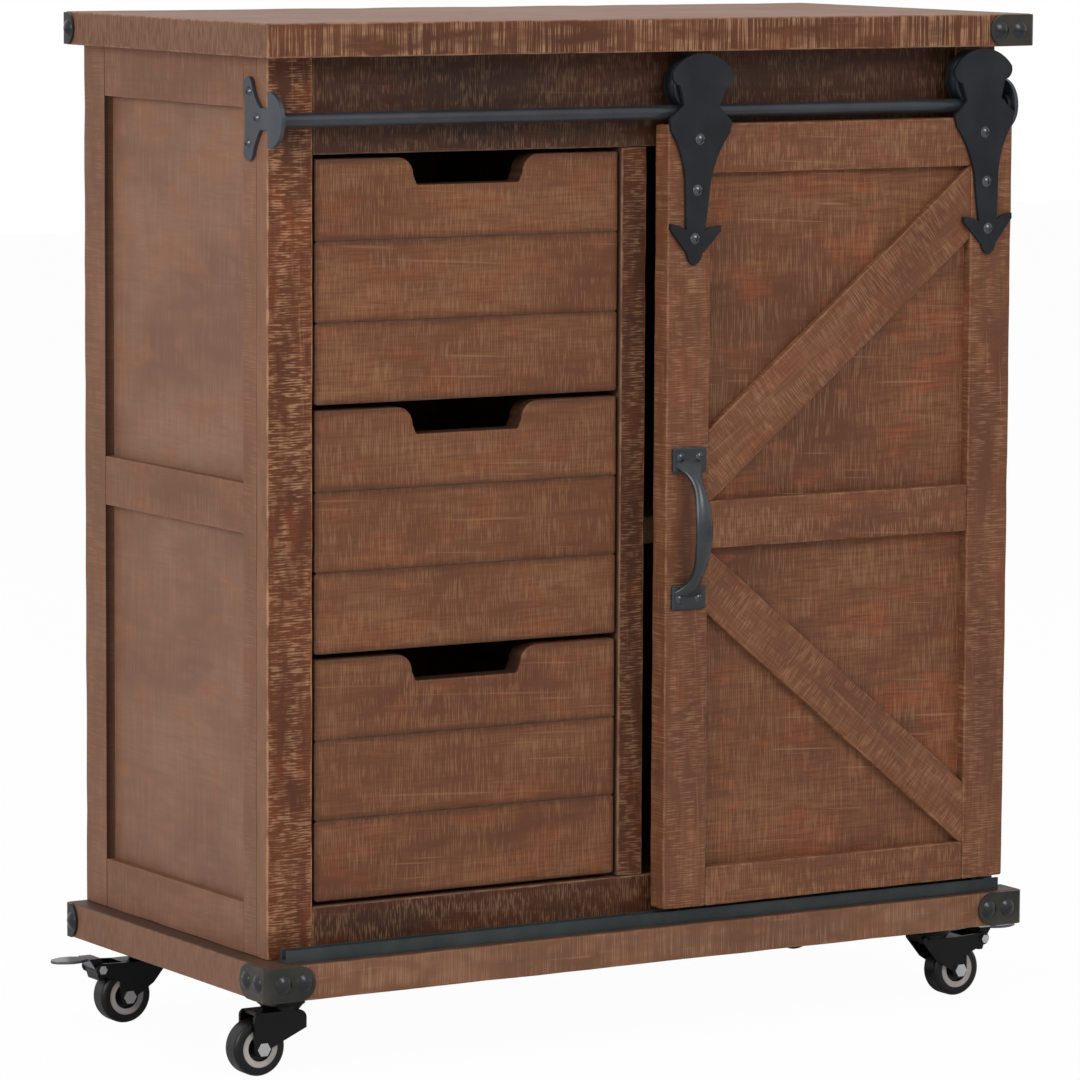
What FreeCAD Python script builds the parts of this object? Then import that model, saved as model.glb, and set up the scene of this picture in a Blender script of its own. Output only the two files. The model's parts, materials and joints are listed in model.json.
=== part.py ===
import FreeCAD, Part
import os
from math import atan2, cos, pi, sin
from FreeCAD import Vector

# A rolling cabinet: a framed timber case on four swivel casters, with three
# drawers on the left and, on the right, a braced door that hangs from a round
# rail and slides in front of the drawers. Millimetres, +X right, +Y back, +Z up,
# with the floor at zero and the middle of the object over the origin.

# Case
WIDTH = 640.0
DEPTH = 304.0
HEIGHT = 736.0
TOP_BOARD = 24.0
BASE_BOARD = 26.0
BOARD_CORNER = 3.0
FRONT = -141.5
BACK = FRONT + DEPTH
CASTER_HEIGHT = 58.0
BASE_TOP = CASTER_HEIGHT + BASE_BOARD
CASE_TOP = HEIGHT - TOP_BOARD
SIDE_OVERHANG = 14.0
CASE_HALF = WIDTH / 2 - SIDE_OVERHANG
FACE_FRONT = FRONT + 26.0
FACE_THICK = 16.0
FACE_BACK = FACE_FRONT + FACE_THICK
CASE_BACK = BACK - 2.0
SIDE_THICK = 16.0
SIDE_INNER = CASE_HALF - SIDE_THICK
EDGE = 1.2

# Side frames
SIDE_REAR_STILE = 32.5
SIDE_FRONT_STILE = 19.0
SIDE_RAILS = [(BASE_TOP, 120.0), (380.0, 415.5), (676.0, CASE_TOP)]
PANEL_RECESS = 7.0
PANEL_THICK = 6.0
TENON = 6.0

# Face frame
OUTER_STILE = 36.0
CENTRE_STILE = (-18.5, 2.5)
FRAME_SILL = 118.5
FRAME_LINTEL = 644.0

# Inside of the case
PARTITION = (-16.0, 0.0)
FLOOR_THICK = 12.0
SHELF_Z = (356.5, 376.0)
SHELF_FRONT = FACE_BACK + 1.5
BACK_PANEL_THICK = 6.0
BACK_PANEL_INSET = 4.0
BACK_PANEL_FRONT = CASE_BACK - BACK_PANEL_INSET - BACK_PANEL_THICK
BACK_PLANKS = 6
BACK_SEAM = 1.8

# Drawers
DRAWERS = ["bottom", "middle", "top"]
END_GAP = 3.0
BETWEEN_GAP = 4.0
SIDE_GAP = 2.5
OPENING = (-CASE_HALF + OUTER_STILE, CENTRE_STILE[0])
FRONT_HEIGHT = (FRAME_LINTEL - FRAME_SILL - 2 * END_GAP - 2 * BETWEEN_GAP) / 3
FRONT_THICK = 18.0
FRONT_RECESS = 1.5
FRONT_PLANKS = 3
SEAM_HALF = 3.0
SEAM_DEPTH = 2.2
NOTCH_FLOOR = 83.0
NOTCH_DEPTH = 19.4
NOTCH_LEAN = 2.9
NOTCH_ROUND = 12.5
BOX_SIDE = 12.0
BOX_GAP = 4.0
BOX_LENGTH = 235.0
BOX_RISE = 12.0
BOX_HEIGHT = 125.0
BOX_BOTTOM = 5.0
BATTEN = 12.0
BATTEN_CLEAR = 0.5
BATTEN_GROOVE = 5.0
BATTEN_START = FACE_BACK + 9.5

# Sliding door
DOOR_X = (5.5, 305.5)
DOOR_Z = (95.5, 660.5)
DOOR_FRONT = FRONT + 2.0
DOOR_THICK = 18.0
DOOR_BACK = DOOR_FRONT + DOOR_THICK
DOOR_STILE = 36.5
DOOR_RAILS = [(DOOR_Z[0], 124.0), (355.5, 390.5), (625.0, DOOR_Z[1])]
DOOR_RECESS = 8.0
DOOR_PANEL = 6.0
UPPER_BRACE = ((47.3, 418.3), (267.6, 597.5), 42.0)
LOWER_BRACE = ((46.6, 328.4), (266.4, 147.5), 36.5)
BRACE_RECESS = 1.0
BRACE_SPARE = 60.0

# Rail, rollers and straps
ROD_R = 5.0
ROD_Y = FRONT + 12.0
ROD_Z = 669.0
ROLLER_X = (32.5, 277.0)
ROLLER_R = 21.0
ROLLER_THICK = 15.0
GROOVE_R = 5.3
ROLLER_Z = ROD_Z + 19.5
ROLLER_BORE = 4.05
PIN_R = 4.0
PIN_END = FACE_FRONT - 4.0
WASHER = 2.2
PLATE = 3.0
STRAP_TIP = 559.7
STRAP_LEAN = 2.9
STRAP_SCREWS = [649.7, 613.5, 579.0]
SCREW_R = 4.2
SCREW_RISE = 2.0
SCREW_SHANK = 14.0
RAIL_SCREWS = [(-94.2, 687.8), (-105.5, 669.9), (-93.2, 652.2)]
BRACKET_BACK = -86.0
DISC_R = 19.5
COLLAR_R = 7.5
COLLAR_LENGTH = 3.0
CHANNEL_WIDTH = 10.0
CHANNEL_HEIGHT = 9.0
CHANNEL_SLOT = 6.0
CHANNEL_FLOOR = 2.0
CHANNEL_X = (-300.5, 305.5)
GUIDE_PIN_R = 2.5
GUIDE_PIN_X = (24.0, 285.0)

# Handle
HANDLE_X = 24.0
HANDLE_Z = (313.0, 429.5)
HANDLE_PLATE = (28.0, 17.5, 3.0)
HANDLE_STANDOFF = 26.0
GRIP_THICK = 7.0
GRIP_WIDTHS = [(-1.2, 27.0), (-1.0, 23.0), (-0.84, 13.0), (-0.66, 9.5), (-0.35, 12.0), (0.0, 13.6),
               (0.35, 12.0), (0.66, 9.5), (0.84, 13.0), (1.0, 23.0), (1.2, 27.0)]
HANDLE_SCREW_LOW = 8.0
HANDLE_SCREW_HIGH = 6.5

# Corner brackets and rivets
BRACKET_LEG = 37.5
BRACKET_STUB = 15.5
BRACKET_THICK = 2.0
BRACKET_INSET = 0.5
RIVET_R = 5.8
RIVET_SHOULDER = 4.7
RIVET_CROWN = 2.4
RIVET_RISE = 2.6
LEG_RIVETS = (11.8, 28.5)
STUB_RIVETS = (8.5,)

# Casters
MIDDLE_Y = FRONT + DEPTH / 2
SWIVEL_Y = 108.0
CASTERS = {"front_left": (-285.0, MIDDLE_Y - SWIVEL_Y, -1, False),
           "front_right": (268.5, MIDDLE_Y - SWIVEL_Y, 1, True),
           "rear_left": (-278.0, MIDDLE_Y + SWIVEL_Y, -1, True),
           "rear_right": (269.0, MIDDLE_Y + SWIVEL_Y, 1, False)}
TRAIL = 21.0
WHEEL_R = 20.0
WHEEL_THICK = 17.0
CORE_R = 13.8
DISH_R = 9.4
DISH_DEPTH = 2.6
HUB_R = 5.2
AXLE_R = 3.0
AXLE_BORE = 3.08
MOUNT_PLATE = 42.0
MOUNT_SCREW = 15.5
RACE_R = 17.0
RACE_LOW = 49.6
CROWN_TOP = 45.5
CROWN_THICK = 2.4
FORK_HALF = 11.8
FORK_PLATE = 2.2
KINGPIN_R = 3.8
KINGPIN_BORE = 4.15
BRAKE_PIVOT = (43.0, 42.0)
BRAKE_R = 2.4
PEDAL_TIP = 78.0
PEDAL_Z = (48.0, 50.0)


def box(x0, x1, y0, y1, z0, z1):
    return Part.makeBox(x1 - x0, y1 - y0, z1 - z0, Vector(x0, y0, z0))


def softened(solid, size=EDGE):
    """A plank with its sharp edges taken off."""
    return solid.makeChamfer(size, solid.Edges)


def plank(x0, x1, y0, y1, z0, z1, size=EDGE):
    return softened(box(x0, x1, y0, y1, z0, z1), size)


def outer_board(z0, z1):
    """The top or the base: a plank with round corners for the brackets to bend about."""
    slab = box(-WIDTH / 2, WIDTH / 2, FRONT, BACK, z0, z1)
    upright = [edge for edge in slab.Edges if abs(edge.Length - (z1 - z0)) < 0.01]
    slab = slab.makeFillet(BOARD_CORNER, upright)
    rims = [edge for face in slab.Faces if abs(face.normalAt(0, 0).z) > 0.9 for edge in face.Edges]
    return slab.makeChamfer(EDGE, rims)


def rod(x, y, z, radius, length, axis):
    return Part.makeCylinder(radius, length, Vector(x, y, z), axis)


def face_of(points):
    """A closed face through corner points."""
    return Part.Face(Part.makePolygon(points + [points[0]]))


def write(name, *solids):
    """One file for each piece; a piece that repeats is a group of solids."""
    shape = solids[0] if len(solids) == 1 else Part.makeCompound(list(solids))
    shape.exportStep("parts/%s.step" % name)
    print(name, len(shape.Solids), shape.isValid(), round(shape.Volume))


def dome(x, y, z, radius, height, axis):
    """A low round screw or rivet head on a surface, with its flat face down."""
    ball = (radius * radius + height * height) / (2 * height)
    sphere = Part.makeSphere(ball, Vector(x, y, z) + axis * (height - ball))
    return sphere.common(rod(x, y, z, radius * 1.5, height * 1.2, axis))


def cross_screw(x, y, z, radius, height, axis, shank=0.0):
    """A domed head with a cross recess, and its shank behind the surface."""
    head = dome(x, y, z, radius, height, axis)
    side = Vector(0, 0, 1).cross(axis)
    if side.Length < 0.5:
        side = Vector(1, 0, 0)
    up = axis.cross(side)
    for along, across in ((side, up), (up, side)):
        start = Vector(x, y, z) + axis * (height * 0.45) - along * radius * 0.55 - across * 0.4
        corners = [start, start + along * radius * 1.1, start + along * radius * 1.1 + across * 0.8,
                   start + across * 0.8]
        head = head.cut(face_of(corners).extrude(axis * height))
    if shank:
        head = head.fuse(rod(x, y, z, radius * 0.5, shank, axis * -1)).removeSplitter()
    return head


# Case
def make_boards():
    write("top_board", outer_board(CASE_TOP, HEIGHT))
    write("base_board", outer_board(CASTER_HEIGHT, BASE_TOP))


def side_frame(outer, inner):
    """Two stiles and three rails of one side, and its two panels in grooves."""
    low, high = sorted((outer, inner))
    outward = 1 if outer > inner else -1
    face = outer - outward * PANEL_RECESS
    panel_x = sorted((face, face - outward * PANEL_THICK))
    front = FACE_BACK + SIDE_FRONT_STILE
    rear = CASE_BACK - SIDE_REAR_STILE
    panels = []
    for below, above in zip(SIDE_RAILS, SIDE_RAILS[1:]):
        panels.append(box(panel_x[0], panel_x[1], front - TENON, rear + TENON,
                          below[1] - TENON, above[0] + TENON))
    pieces = [plank(low, high, FACE_BACK, front, BASE_TOP, CASE_TOP),
              plank(low, high, rear, CASE_BACK, BASE_TOP, CASE_TOP)]
    for z0, z1 in SIDE_RAILS:
        pieces.append(plank(low, high, front, rear, z0, z1))
    pieces = [piece.cut(panels) for piece in pieces]
    return pieces, panels


def make_sides():
    for name, sign in (("left", -1), ("right", 1)):
        frame, panels = side_frame(sign * CASE_HALF, sign * SIDE_INNER)
        write(name + "_side_frame", *frame)
        write(name + "_side_panels", *panels)


def make_face_frame():
    inner = CASE_HALF - OUTER_STILE
    write("frame_left_stile", plank(-CASE_HALF, -inner, FACE_FRONT, FACE_BACK, BASE_TOP, CASE_TOP))
    write("frame_right_stile", plank(inner, CASE_HALF, FACE_FRONT, FACE_BACK, BASE_TOP, CASE_TOP))
    write("frame_top_rail", plank(-inner, inner, FACE_FRONT, FACE_BACK, FRAME_LINTEL, CASE_TOP))
    write("frame_bottom_rail", plank(-inner, inner, FACE_FRONT, FACE_BACK, BASE_TOP, FRAME_SILL))
    write("frame_centre_stile", plank(CENTRE_STILE[0], CENTRE_STILE[1], FACE_FRONT, FACE_BACK,
                                      FRAME_SILL, FRAME_LINTEL))


def make_inside():
    floors = [box(x0, x1, FACE_BACK, BACK_PANEL_FRONT, FRAME_SILL - FLOOR_THICK, FRAME_SILL)
              for x0, x1 in ((-SIDE_INNER, PARTITION[0]), (PARTITION[1], SIDE_INNER))]
    write("floor_boards", *floors)
    write("partition", box(PARTITION[0], PARTITION[1], FACE_BACK, BACK_PANEL_FRONT,
                           BASE_TOP, CASE_TOP))
    write("shelf", plank(PARTITION[1], SIDE_INNER, SHELF_FRONT, BACK_PANEL_FRONT,
                         SHELF_Z[0], SHELF_Z[1]))
    panel = box(-SIDE_INNER, SIDE_INNER, BACK_PANEL_FRONT, BACK_PANEL_FRONT + BACK_PANEL_THICK,
                BASE_TOP, CASE_TOP)
    back = BACK_PANEL_FRONT + BACK_PANEL_THICK
    for seam in range(1, BACK_PLANKS):
        x = -SIDE_INNER + seam * 2 * SIDE_INNER / BACK_PLANKS
        corners = [Vector(x - BACK_SEAM, back, BASE_TOP), Vector(x + BACK_SEAM, back, BASE_TOP),
                   Vector(x, back - BACK_SEAM, BASE_TOP)]
        panel = panel.cut(face_of(corners).extrude(Vector(0, 0, CASE_TOP - BASE_TOP)))
    write("back_panel", panel)


# Drawers
def front_z(index):
    """Bottom and top of a drawer front, counted from the lowest drawer."""
    low = FRAME_SILL + END_GAP + index * (FRONT_HEIGHT + BETWEEN_GAP)
    return low, low + FRONT_HEIGHT


def notch(x, y0, y1, z):
    """The finger notch in the top edge of a drawer front: square at its floor, with round shoulders."""
    sides = []
    for side in (-1, 1):
        corner = Vector(x + side * NOTCH_FLOOR / 2, y0, z - NOTCH_DEPTH)
        waist = corner + Vector(side * NOTCH_LEAN, 0, NOTCH_DEPTH - NOTCH_ROUND)
        middle = waist + Vector(side * NOTCH_ROUND, 0, 0)
        crown = middle + Vector(-side * cos(pi / 4), 0, sin(pi / 4)) * NOTCH_ROUND
        shoulder = middle + Vector(0, 0, NOTCH_ROUND)
        sides.append((corner, [Part.LineSegment(corner, waist), Part.Arc(waist, crown, shoulder)], shoulder))
    (left_corner, left, left_end), (right_corner, right, right_end) = sides
    rise = Vector(0, 0, 5)
    others = [Part.LineSegment(left_corner, right_corner), Part.LineSegment(left_end, left_end + rise),
              Part.LineSegment(left_end + rise, right_end + rise), Part.LineSegment(right_end + rise, right_end)]
    wire = Part.Wire(Part.__sortEdges__([edge.toShape() for edge in left + right + others]))
    return Part.Face(wire).extrude(Vector(0, y1 - y0, 0))


def drawer_front(index):
    z0, z1 = front_z(index)
    x0, x1 = OPENING[0] + SIDE_GAP, OPENING[1] - SIDE_GAP
    y0 = FACE_FRONT + FRONT_RECESS
    front = plank(x0, x1, y0, y0 + FRONT_THICK, z0, z1)
    for seam in range(1, FRONT_PLANKS):
        z = z0 + seam * FRONT_HEIGHT / FRONT_PLANKS
        corners = [Vector(x0, y0, z - SEAM_HALF), Vector(x0, y0, z + SEAM_HALF),
                   Vector(x0, y0 + SEAM_DEPTH, z)]
        front = front.cut(face_of(corners).extrude(Vector(x1 - x0, 0, 0)))
    return front.cut(notch((x0 + x1) / 2, y0 - 1, y0 + FRONT_THICK + 1, z1))


def batten_z(index):
    middle = front_z(index)[0] + BOX_RISE + BOX_HEIGHT * 0.6
    return middle - BATTEN / 2, middle + BATTEN / 2


def make_drawers():
    x0 = OPENING[0] + BOX_GAP
    x1 = OPENING[1] - BOX_GAP
    front_face = FACE_FRONT + FRONT_RECESS + FRONT_THICK
    rear = front_face + BOX_LENGTH
    for index, name in enumerate(DRAWERS):
        low = front_z(index)[0] + BOX_RISE
        high = low + BOX_HEIGHT
        bottom = box(x0 + 6, x1 - 6, front_face - 5, rear - 6, low + 6, low + 6 + BOX_BOTTOM)
        z0, z1 = batten_z(index)
        grooves = [box(x, x + BATTEN_GROOVE, front_face + 4, rear + 1, z0 - BATTEN_CLEAR,
                       z1 + BATTEN_CLEAR) for x in (x0, x1 - BATTEN_GROOVE)]
        left = box(x0, x0 + BOX_SIDE, front_face, rear, low, high)
        right = box(x1 - BOX_SIDE, x1, front_face, rear, low, high)
        back = box(x0 + BOX_SIDE, x1 - BOX_SIDE, rear - BOX_SIDE, rear, low, high)
        walls = [wall.cut(grooves + [bottom]) for wall in (left, right, back)]
        write("drawer_%s_front" % name, drawer_front(index).cut(bottom))
        write("drawer_%s_box" % name, *walls)
        write("drawer_%s_bottom" % name, bottom)


def make_runners():
    """Battens on the case that run in the grooves of the drawer sides."""
    left_end = OPENING[0] + BOX_GAP + BATTEN_GROOVE - BATTEN_CLEAR
    right_end = OPENING[1] - BOX_GAP - BATTEN_GROOVE + BATTEN_CLEAR
    battens = []
    for index in range(len(DRAWERS)):
        z0, z1 = batten_z(index)
        battens.append(box(-SIDE_INNER, left_end, BATTEN_START, BACK_PANEL_FRONT, z0, z1))
        battens.append(box(right_end, PARTITION[0], BATTEN_START, BACK_PANEL_FRONT, z0, z1))
    write("drawer_runners", *battens)


# Door
def brace(start, end, width, field):
    """A diagonal plank along the line from start to end, trimmed to its panel field."""
    run = Vector(end[0] - start[0], 0, end[1] - start[1]).normalize()
    across = Vector(-run.z, 0, run.x) * (width / 2)
    a = Vector(start[0], DOOR_FRONT + BRACE_RECESS, start[1]) - run * BRACE_SPARE
    b = Vector(end[0], DOOR_FRONT + BRACE_RECESS, end[1]) + run * BRACE_SPARE
    slab = face_of([a - across, b - across, b + across, a + across])
    return slab.extrude(Vector(0, DOOR_RECESS - BRACE_RECESS, 0)).common(field)


def door_pins():
    """Two pins that the rollers turn on, with their washers, and two guide pins."""
    back = Vector(0, 1, 0)
    pins = []
    for x in ROLLER_X:
        pin = rod(x, DOOR_FRONT, ROLLER_Z, PIN_R, PIN_END - DOOR_FRONT, back)
        front_washer = rod(x, DOOR_FRONT, ROLLER_Z, PIN_R * 2, WASHER, back)
        nut = rod(x, PIN_END - WASHER, ROLLER_Z, PIN_R * 1.7, WASHER, back)
        pins.append(pin.fuse([front_washer, nut]).removeSplitter())
    for x in GUIDE_PIN_X:
        pins.append(rod(x, ROD_Y, BASE_TOP + 4.5, GUIDE_PIN_R, DOOR_Z[0] + 10 - BASE_TOP, Vector(0, 0, 1)))
    return pins


def strap_half(sign):
    """One side of a strap's outline, from the top of its head to its lower tip."""
    def at(across, z):
        return Vector(sign * across, 0, z)
    top, cheek, chin = at(0, 710.8), at(25.4, 697.0), at(19.0, 687.0)
    waist, shoulder, hip = at(15.0, 673.5), at(26.4, 663.0), at(24.8, 655.0)
    blade, barb_root, barb = at(10.6, 620.0), at(7.9, 584.8), at(21.4, 589.0)
    barb_low, point, tip = at(21.4, 585.0), at(6.2, 568.0), at(0, STRAP_TIP)
    return [Part.Arc(top, at(15.0, 706.8), cheek), Part.Arc(cheek, at(24.8, 691.0), chin),
            Part.LineSegment(chin, waist), Part.LineSegment(waist, shoulder),
            Part.LineSegment(shoulder, hip), Part.Arc(hip, at(14.6, 636.0), blade),
            Part.LineSegment(blade, barb_root), Part.Arc(barb_root, at(13.6, 587.6), barb),
            Part.LineSegment(barb, barb_low), Part.Arc(barb_low, at(13.2, 575.6), point),
            Part.Arc(point, at(4.0, 562.6), tip)]


def door_straps():
    """Both hangers and their screws; each leans a little about its roller's axis."""
    edges = [curve.toShape() for sign in (1, -1) for curve in strap_half(sign)]
    plate = Part.Face(Part.Wire(Part.__sortEdges__(edges))).extrude(Vector(0, -PLATE, 0))
    toward_viewer = Vector(0, -1, 0)
    straps, screws = [], []
    for x, lean in zip(ROLLER_X, (STRAP_LEAN, -STRAP_LEAN)):
        own = [cross_screw(0, -PLATE, z, SCREW_R, SCREW_RISE, toward_viewer, SCREW_SHANK)
               for z in STRAP_SCREWS]
        strap = plate.cut(own)
        for solid in [strap] + own:
            solid.rotate(Vector(0, 0, ROLLER_Z), Vector(0, 1, 0), lean)
            solid.translate(Vector(x, DOOR_FRONT, 0))
        straps.append(strap)
        screws += own
    return straps, screws


def grip_section(angle, centre_y, centre_z, radius, width, thick):
    """An oval across the grip's arc, at an angle from the arc's middle."""
    out = Vector(0, -cos(angle), sin(angle))
    centre = Vector(HANDLE_X, centre_y, centre_z) + out * radius
    oval = Part.Ellipse(centre + Vector(1, 0, 0) * (width / 2), centre + out * (thick / 2), centre)
    return Part.Wire(oval.toShape())


def make_handle():
    """A bowed grip whose ends flare into two small screwed plates."""
    wide, tall, thick = HANDLE_PLATE
    front = DOOR_FRONT - thick
    bottom, top = HANDLE_Z
    middle = (bottom + top) / 2
    half = (top - bottom) / 2 - tall + 4.0
    bow = HANDLE_STANDOFF - thick - GRIP_THICK / 2
    radius = (half * half + bow * bow) / (2 * bow)
    centre_y = front - bow + radius
    limit = atan2(half, radius - bow)
    sections = []
    for step, width in GRIP_WIDTHS:
        sections.append(grip_section(step * limit, centre_y, middle, radius, width, GRIP_THICK))
    grip = Part.makeLoft(sections, True)
    grip = grip.cut(box(-WIDTH, WIDTH, front, BACK, 0, HEIGHT))
    screws = []
    plates = []
    for z0, screw_z in ((bottom, bottom + HANDLE_SCREW_LOW),
                        (top - tall, top - HANDLE_SCREW_HIGH)):
        plates.append(softened(box(HANDLE_X - wide / 2, HANDLE_X + wide / 2, front, DOOR_FRONT,
                                   z0, z0 + tall), 0.7))
        for x in (HANDLE_X - 8, HANDLE_X + 8):
            screws.append(cross_screw(x, front, screw_z, 3.2, 1.5, Vector(0, -1, 0), 12.0))
    handle = grip.fuse(plates).removeSplitter().cut(screws)
    return handle, screws


def make_door():
    x0, x1 = DOOR_X
    z0, z1 = DOOR_Z
    inner0, inner1 = x0 + DOOR_STILE, x1 - DOOR_STILE
    panel_front = DOOR_FRONT + DOOR_RECESS
    low, mid, high = DOOR_RAILS
    panel = box(inner0 - TENON, inner1 + TENON, panel_front, panel_front + DOOR_PANEL,
                low[1] - TENON, high[0] + TENON)
    pins = door_pins()
    straps, strap_screws = door_straps()
    handle, handle_screws = make_handle()
    holes = [panel] + pins + strap_screws + handle_screws
    stiles = [plank(x0, inner0, DOOR_FRONT, DOOR_BACK, z0, z1).cut(holes),
              plank(inner1, x1, DOOR_FRONT, DOOR_BACK, z0, z1).cut(holes)]
    rails = [plank(inner0, inner1, DOOR_FRONT, DOOR_BACK, a, b).cut(holes) for a, b in (low, high)]
    rails.append(plank(inner0, inner1, DOOR_FRONT, panel_front, mid[0], mid[1]))
    upper = box(inner0, inner1, DOOR_FRONT, panel_front, mid[1], high[0])
    lower = box(inner0, inner1, DOOR_FRONT, panel_front, low[1], mid[0])
    write("door_stiles", *stiles)
    write("door_rails", *rails)
    write("door_panel", panel)
    write("door_braces", brace(UPPER_BRACE[0], UPPER_BRACE[1], UPPER_BRACE[2], upper),
          brace(LOWER_BRACE[0], LOWER_BRACE[1], LOWER_BRACE[2], lower))
    write("door_straps", *straps)
    write("door_handle", handle)
    write("door_screws", *(strap_screws + handle_screws))
    write("door_pins", *pins)


def make_rollers():
    """Grooved wheels that hang the door on the rail."""
    half = ROLLER_THICK / 2
    for name, x in zip(("left", "right"), ROLLER_X):
        centre = Vector(x, ROD_Y, ROLLER_Z)
        disc = softened(rod(x, ROD_Y - half, ROLLER_Z, ROLLER_R, ROLLER_THICK, Vector(0, 1, 0)), 1.0)
        groove = Part.makeTorus(ROLLER_Z - ROD_Z, GROOVE_R, centre, Vector(0, 1, 0))
        outer = rod(x, ROD_Y - GROOVE_R, ROLLER_Z, ROLLER_R + 2, GROOVE_R * 2, Vector(0, 1, 0))
        core = rod(x, ROD_Y - GROOVE_R, ROLLER_Z, ROLLER_Z - ROD_Z, GROOVE_R * 2, Vector(0, 1, 0))
        bore = rod(x, ROD_Y - half - 1, ROLLER_Z, ROLLER_BORE, ROLLER_THICK + 2, Vector(0, 1, 0))
        write("roller_" + name, disc.cut([groove, outer.cut(core), bore]))


# Rail
def rail_bracket(side):
    """A forged plate on the case's side: a crescent for screws, a neck and a half disc."""
    def at(back, rise):
        return Vector(0, BRACKET_BACK - back, ROD_Z + rise)
    top, bottom = at(0, 23), at(0.5, -23.5)
    horn, heel = at(13, 23), at(14, -23.5)
    neck = [at(24.5, 8), at(35, 8), at(35, DISC_R), at(35, -DISC_R), at(35, -7), at(24.5, -7)]
    edges = [Part.Arc(top, at(6, 29), horn), Part.Arc(horn, at(18, 14), neck[0]),
             Part.LineSegment(neck[0], neck[1]), Part.LineSegment(neck[1], neck[2]),
             Part.Arc(neck[2], at(55.5, 0), neck[3]), Part.LineSegment(neck[3], neck[4]),
             Part.LineSegment(neck[4], neck[5]), Part.Arc(neck[5], at(19, -14), heel),
             Part.Arc(heel, at(7, -29), bottom), Part.Arc(bottom, at(3, 0), top)]
    plate = Part.Face(Part.Wire([edge.toShape() for edge in edges])).extrude(Vector(side * PLATE, 0, 0))
    plate.translate(Vector(side * CASE_HALF, 0, 0))
    return plate


def make_rail():
    """The round rail, the bracket at each end of it, and what screws them on."""
    along = Vector(1, 0, 0)
    collar_start = CASE_HALF - COLLAR_LENGTH
    bar = rod(-collar_start, ROD_Y, ROD_Z, ROD_R, 2 * collar_start, along)
    collars = [rod(x, ROD_Y, ROD_Z, COLLAR_R, COLLAR_LENGTH, along)
               for x in (-CASE_HALF, collar_start)]
    write("rail_rod", bar, *collars)
    brackets, screws = [], []
    for side in (-1, 1):
        outward = Vector(side, 0, 0)
        face = side * (CASE_HALF + PLATE)
        own = [cross_screw(face, y, z, 3.4, 1.8, outward, PLATE) for y, z in RAIL_SCREWS]
        brackets.append(rail_bracket(side).cut(own))
        screws += own
    write("rail_brackets", *brackets)
    return screws


def make_channel():
    """The slotted track that keeps the door's foot in line: a strip with a lip on each side."""
    x0, x1 = CHANNEL_X
    half, slot = CHANNEL_WIDTH / 2, CHANNEL_SLOT / 2
    low, floor, high = BASE_TOP, BASE_TOP + CHANNEL_FLOOR, BASE_TOP + CHANNEL_HEIGHT
    write("guide_channel", box(x0, x1, ROD_Y - half, ROD_Y + half, low, floor),
          box(x0, x1, ROD_Y - half, ROD_Y - slot, floor, high),
          box(x0, x1, ROD_Y + slot, ROD_Y + half, floor, high))


# Corner brackets
def bracket_leg(length, height, end_round):
    """A strap along +X, on a face that looks along -Y, from where a corner starts to bend."""
    half = height / 2
    start, flat = BOARD_CORNER, length - end_round
    edges = [Part.LineSegment(Vector(start, 0, half), Vector(flat, 0, half)),
             Part.Arc(Vector(flat, 0, half), Vector(length, 0, 0), Vector(flat, 0, -half)),
             Part.LineSegment(Vector(flat, 0, -half), Vector(start, 0, -half)),
             Part.LineSegment(Vector(start, 0, -half), Vector(start, 0, half))]
    face = Part.Face(Part.Wire([edge.toShape() for edge in edges]))
    return face.extrude(Vector(0, -BRACKET_THICK, 0))


def mirrored(solid):
    """The same on the other face of a corner at the origin that looks along -X and -Y."""
    return solid.mirror(Vector(0, 0, 0), Vector(1, -1, 0))


def rivet_head(reach):
    """A low round head on the front of a leg, in two tapers."""
    out = Vector(0, -1, 0)
    foot = Vector(reach, -BRACKET_THICK, 0)
    brim = Part.makeCone(RIVET_R, RIVET_SHOULDER, RIVET_RISE / 2, foot, out)
    crown = Part.makeCone(RIVET_SHOULDER, RIVET_CROWN, RIVET_RISE / 2, foot + out * (RIVET_RISE / 2), out)
    return brim.fuse(crown)


def corner_bracket(height, stub_on):
    """A strap bent round that corner, and its rivets; one leg may be a stub."""
    up = Vector(0, 0, 1)
    legs, rivets = [], []
    for face in ("front", "side"):
        short = face == stub_on
        length, end_round = (BRACKET_STUB, height * 0.3) if short else (BRACKET_LEG, height / 2)
        leg = bracket_leg(length, height, end_round)
        heads = [rivet_head(reach) for reach in (STUB_RIVETS if short else LEG_RIVETS)]
        if face == "side":
            leg, heads = mirrored(leg), [mirrored(head) for head in heads]
        legs.append(leg)
        rivets += heads
    middle = Vector(BOARD_CORNER, BOARD_CORNER, -height / 2)
    bend = Part.makeCylinder(BOARD_CORNER + BRACKET_THICK, height, middle, up, 90)
    bend = bend.cut(Part.makeCylinder(BOARD_CORNER, height, middle, up))
    bend.rotate(Vector(BOARD_CORNER, BOARD_CORNER, 0), up, 180)
    return legs[0].fuse([legs[1], bend]).removeSplitter(), rivets


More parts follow.
